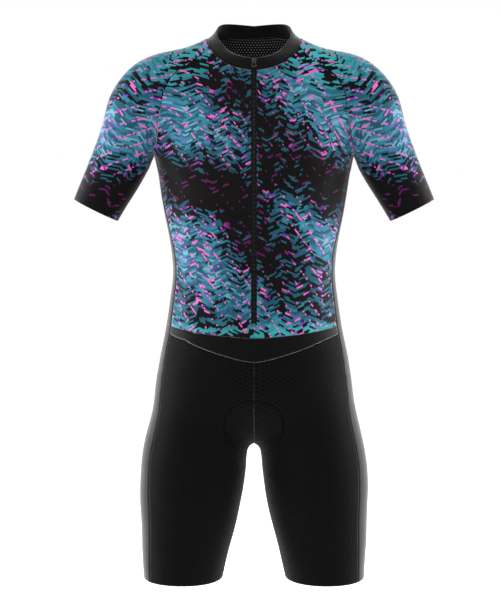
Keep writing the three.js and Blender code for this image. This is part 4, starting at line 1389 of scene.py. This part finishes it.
@dataclass
class FrontZip:
    """Woven tapes, and interlocked coil teeth up the middle."""

    frame: dict
    finishes: Finishes
    tooth_pitch: float = 1.45 * MM
    tooth_size: Point = (2.3 * MM, 1.054 * MM, 0.992 * MM)
    tooth_rise: float = 0.05 * MM
    tooth_side: float = 0.45 * MM
    tooth_start: float = 0.7
    free_end: float = 1.5 * MM
    look: float = 3.0 * MM
    coil_edge: float = 1.02 * MM
    coil_edge_slack: float = 0.2 * MM
    coil_window: float = 2.5 * MM

    def centre_line(self) -> np.ndarray:
        """Finds the line up the middle of the coil's outer face.

        Returns:
            Its points, from its foot to the slider.
        """
        mesh = self.frame["nodes"]["zip_coil"].data
        co = read_vectors(mesh, "co")
        shown = co[np.abs(np.abs(co[:, 0]) - self.coil_edge) < self.coil_edge_slack]
        levels: dict[float, list[np.ndarray]] = {}
        for point in shown:
            levels.setdefault(round(float(point[2]), 3), []).append(point)
        foremost = [min(many, key=lambda point: point[1]) for many in levels.values()]
        line = np.array(sorted(foremost, key=lambda point: point[2]))
        line[:, 0] = 0
        front = []
        for point in line:
            rivals = line[np.abs(line[:, 2] - point[2]) < self.coil_window]
            if point[1] <= rivals[:, 1].min() + 1e-6:
                front.append(point)
        return np.array(front)

    def build_teeth(self) -> None:
        """Builds the teeth along the coil."""
        line = self.centre_line()
        run = run_along(line)
        shape = Matrix.Diagonal((*self.tooth_size, 1))
        sideways = Vector((1, 0, 0))
        work = bmesh.new()
        count = int((run[-1] - self.free_end) / self.tooth_pitch)
        for number in range(count):
            middle = (number + self.tooth_start) * self.tooth_pitch
            ahead = at_length(middle + self.look, run, line)
            along = (ahead - at_length(middle - self.look, run, line)).normalized()
            out = sideways.cross(along)
            basis = Matrix((sideways, along, out)).transposed().to_4x4()
            side = self.tooth_side if number % 2 else -self.tooth_side
            place = at_length(middle, run, line) + out * self.tooth_rise + sideways * side
            bmesh.ops.create_icosphere(
                work, subdivisions=1, radius=0.5, matrix=Matrix.Translation(place) @ basis @ shape,
            )
        teeth = link_piece(work, "zip_teeth", self.finishes["nylon teeth"])
        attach(teeth, BODY)
        log.info("zip_teeth: %d teeth", count)

    def copy_node(self, node: str, name: str, material: str, bevel: float) -> bpy.types.Object:
        """Copies a node's mesh as a new piece with softened edges.

        Args:
            node: The node.
            name: The new piece's name.
            material: Its finish.
            bevel: Width of the rounded edges.

        Returns:
            The new piece.
        """
        work = bmesh.new()
        work.from_mesh(self.frame["nodes"][node].data)
        bmesh.ops.remove_doubles(work, verts=work.verts, dist=1e-6)
        flat = math.radians(4)
        bmesh.ops.dissolve_limit(work, angle_limit=flat, verts=work.verts, edges=work.edges)
        piece = link_piece(work, name, self.finishes[material])
        round_off = piece.modifiers.new("round", "BEVEL")
        round_off.width = bevel
        round_off.segments = 2
        round_off.limit_method = "ANGLE"
        round_off.angle_limit = math.radians(30)
        return piece

    def build(self) -> None:
        """Builds the tapes and teeth and finishes the metal nodes."""
        for side in ("left", "right"):
            tape = self.copy_node(f"zip_tape_{side}", f"tape_{side}", "zip tape", 0.2 * MM)
            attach(tape, BODY)
            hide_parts(f"zip_tape_{side}")
            log.info("%s", tape.name)
        self.build_teeth()
        for node, material in (
            ("zip_coil", "nylon teeth"),
            ("zip_bottom_stop", "gunmetal"),
            ("zip_slider", "gunmetal"),
            ("zip_pull", "gunmetal"),
        ):
            piece = self.frame["nodes"][node]
            piece.data.materials.clear()
            piece.data.materials.append(self.finishes[material])
            log.info("%s: finished", node)


@dataclass
class SeatPad:
    """The soft pad inside the crotch, crowned, with pressed channels."""

    frame: dict
    finishes: Finishes
    channel_half: float = 3.0 * MM
    channel_depth: float = 1.6 * MM
    inner_channel: float = 16.0 * MM
    outer_channel: float = 40.0 * MM
    levels: int = 2

    def build(self) -> None:
        """Builds the pad from a smooth copy of its node."""
        work = bmesh.new()
        work.from_mesh(self.frame["nodes"]["chamois_pad"].data)
        bmesh.ops.remove_doubles(work, verts=work.verts, dist=MERGE)
        bmesh.ops.join_triangles(
            work, faces=work.faces, angle_face_threshold=0.9, angle_shape_threshold=1.4,
        )
        pad = link_piece(work, "seat_pad")
        smooth_out(pad, self.levels)
        mesh = pad.data
        co, normal = read_vectors(mesh, "co"), read_vectors(mesh, "normal")
        inwards = (np.abs(normal[:, 1]) > 0.4) & (normal[:, 1] * co[:, 1] < 0)
        worn_side = (normal[:, 2] > 0.1) | inwards
        across = np.abs(co[:, 0])
        near = np.minimum(np.abs(across - self.inner_channel), np.abs(across - self.outer_channel))
        press = ease(near / self.channel_half) * worn_side
        co -= normal * (self.channel_depth * press)[:, None]
        mesh.vertices.foreach_set("co", co.reshape(-1))
        mesh.polygons.foreach_set("use_smooth", np.ones(len(mesh.polygons), dtype=bool))
        mesh.materials.clear()
        mesh.materials.append(self.finishes["brushed pad knit"])
        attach(pad, BODY)
        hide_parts("chamois_pad")
        log.info("seat_pad: %d faces", len(mesh.polygons))


@dataclass(frozen=True)
class Lamp:
    """A soft square light that faces the suit's middle."""

    name: str
    place: Point
    power: float
    size: float
    aim: Point = (0, 0, -0.45)

    def build(self) -> None:
        """Adds the light to the scene."""
        light = bpy.data.lights.new(self.name, "AREA")
        light.energy = self.power
        light.size = self.size
        holder = bpy.data.objects.new(self.name, light)
        holder.location = self.place
        facing = Vector(self.aim) - Vector(self.place)
        holder.rotation_euler = facing.to_track_quat("-Z", "Y").to_euler()
        bpy.context.scene.collection.objects.link(holder)


LAMPS: tuple[Lamp, ...] = (
    Lamp("rim left", (1.9, 0.35, -0.2), power=60, size=1.5),
    Lamp("rim right", (-1.9, 0.35, -0.2), power=60, size=1.5),
    Lamp("front", (-0.4, -2.6, 1.0), power=48, size=1.8),
)


@dataclass
class Studio:
    """Pale floor, soft lights and the camera.

    The origin column and row are where the suit's origin lies in the photograph, in pixels.
    """

    distance: float = 2.25
    eye: float = -0.286
    scale: float = 1.72 * MM
    film: float = 36.0
    picture_width: int = 500
    picture_height: int = 600
    origin_column: float = 254.0
    origin_row: float = 38.5
    floor: float = -1.25
    floor_half: float = 60.0
    sky: float = 0.2
    floor_dark: Colour = (0.9, 0.9, 0.9, 1)
    floor_pale: Colour = (0.94, 0.94, 0.94, 1)

    def build_camera(self) -> None:
        """Builds the camera, level and straight on, with the photograph's framing."""
        shown_height = self.picture_height * self.scale
        lens = bpy.data.cameras.new("camera")
        lens.sensor_fit = "VERTICAL"
        lens.sensor_height = self.film
        lens.lens = self.film * self.distance / shown_height
        below = (self.origin_row - self.picture_height / 2) * self.scale
        beside = (self.picture_width / 2 - self.origin_column) * self.scale
        lens.shift_y = (below - self.eye) / shown_height
        lens.shift_x = beside / shown_height
        camera = bpy.data.objects.new("camera", lens)
        camera.location = (0, -self.distance, self.eye)
        camera.rotation_euler = (math.pi / 2, 0, 0)
        bpy.context.scene.collection.objects.link(camera)
        bpy.context.scene.camera = camera

    def build_sky(self) -> None:
        """Builds a world that is white to the camera and dim to the cloth."""
        world = bpy.data.worlds.new("studio")
        world.use_nodes = True
        nodes = Nodes(world.node_tree)
        seen = nodes.add("ShaderNodeLightPath").outputs["Is Camera Ray"]
        shade = world.node_tree.nodes["Background"]
        nodes.feed(shade.inputs[1], nodes.math("MULTIPLY_ADD", seen, 1.0 - self.sky, self.sky))
        shade.inputs[0].default_value = (1, 1, 1, 1)
        bpy.context.scene.world = world

    def floor_finish(self) -> bpy.types.Material:
        """Makes the floor's material, nearly white to the camera.

        Returns:
            The material.
        """
        pale = bpy.data.materials.new("pale floor")
        pale.use_nodes = True
        nodes = Nodes(pale.node_tree)
        place = nodes.add("ShaderNodeTexCoord").outputs["Object"]
        soft = nodes.add("ShaderNodeTexNoise", in_Vector=place, in_Scale=3.0)
        shader = pale.node_tree.nodes["Principled BSDF"]
        tint = nodes.mix(soft.outputs[0], self.floor_dark, self.floor_pale)
        nodes.feed(shader.inputs["Base Color"], tint)
        shader.inputs["Roughness"].default_value = 0.9
        shader.inputs["Emission Color"].default_value = (1, 1, 1, 1)
        seen = nodes.add("ShaderNodeLightPath").outputs["Is Camera Ray"]
        nodes.feed(shader.inputs["Emission Strength"], nodes.math("MULTIPLY_ADD", seen, 0.8, 0.1))
        return pale

    def build(self) -> None:
        """Builds the studio."""
        self.build_camera()
        self.build_sky()
        bpy.context.scene.view_settings.view_transform = "Standard"
        for lamp in LAMPS:
            lamp.build()
        work = bmesh.new()
        bmesh.ops.create_grid(work, x_segments=8, y_segments=8, size=self.floor_half)
        bmesh.ops.translate(work, verts=work.verts, vec=(0, 0, self.floor))
        ground = link_piece(work, "floor", self.floor_finish())
        log.info("studio: %d lamps", len(LAMPS))


def main() -> None:
    """Builds the whole scene."""
    logging.basicConfig(level=logging.INFO, format="%(relativeCreated)d ms %(name)s: %(message)s")
    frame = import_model()
    Studio().build()
    finishes = Finishes()
    finishes.build()
    skin = Skin(frame, finishes)
    skin.build()
    Stitching(skin, finishes).build()
    FrontZip(frame, finishes).build()
    SeatPad(frame, finishes).build()
    bpy.context.view_layer.update()


if __name__ == "__main__":
    main()
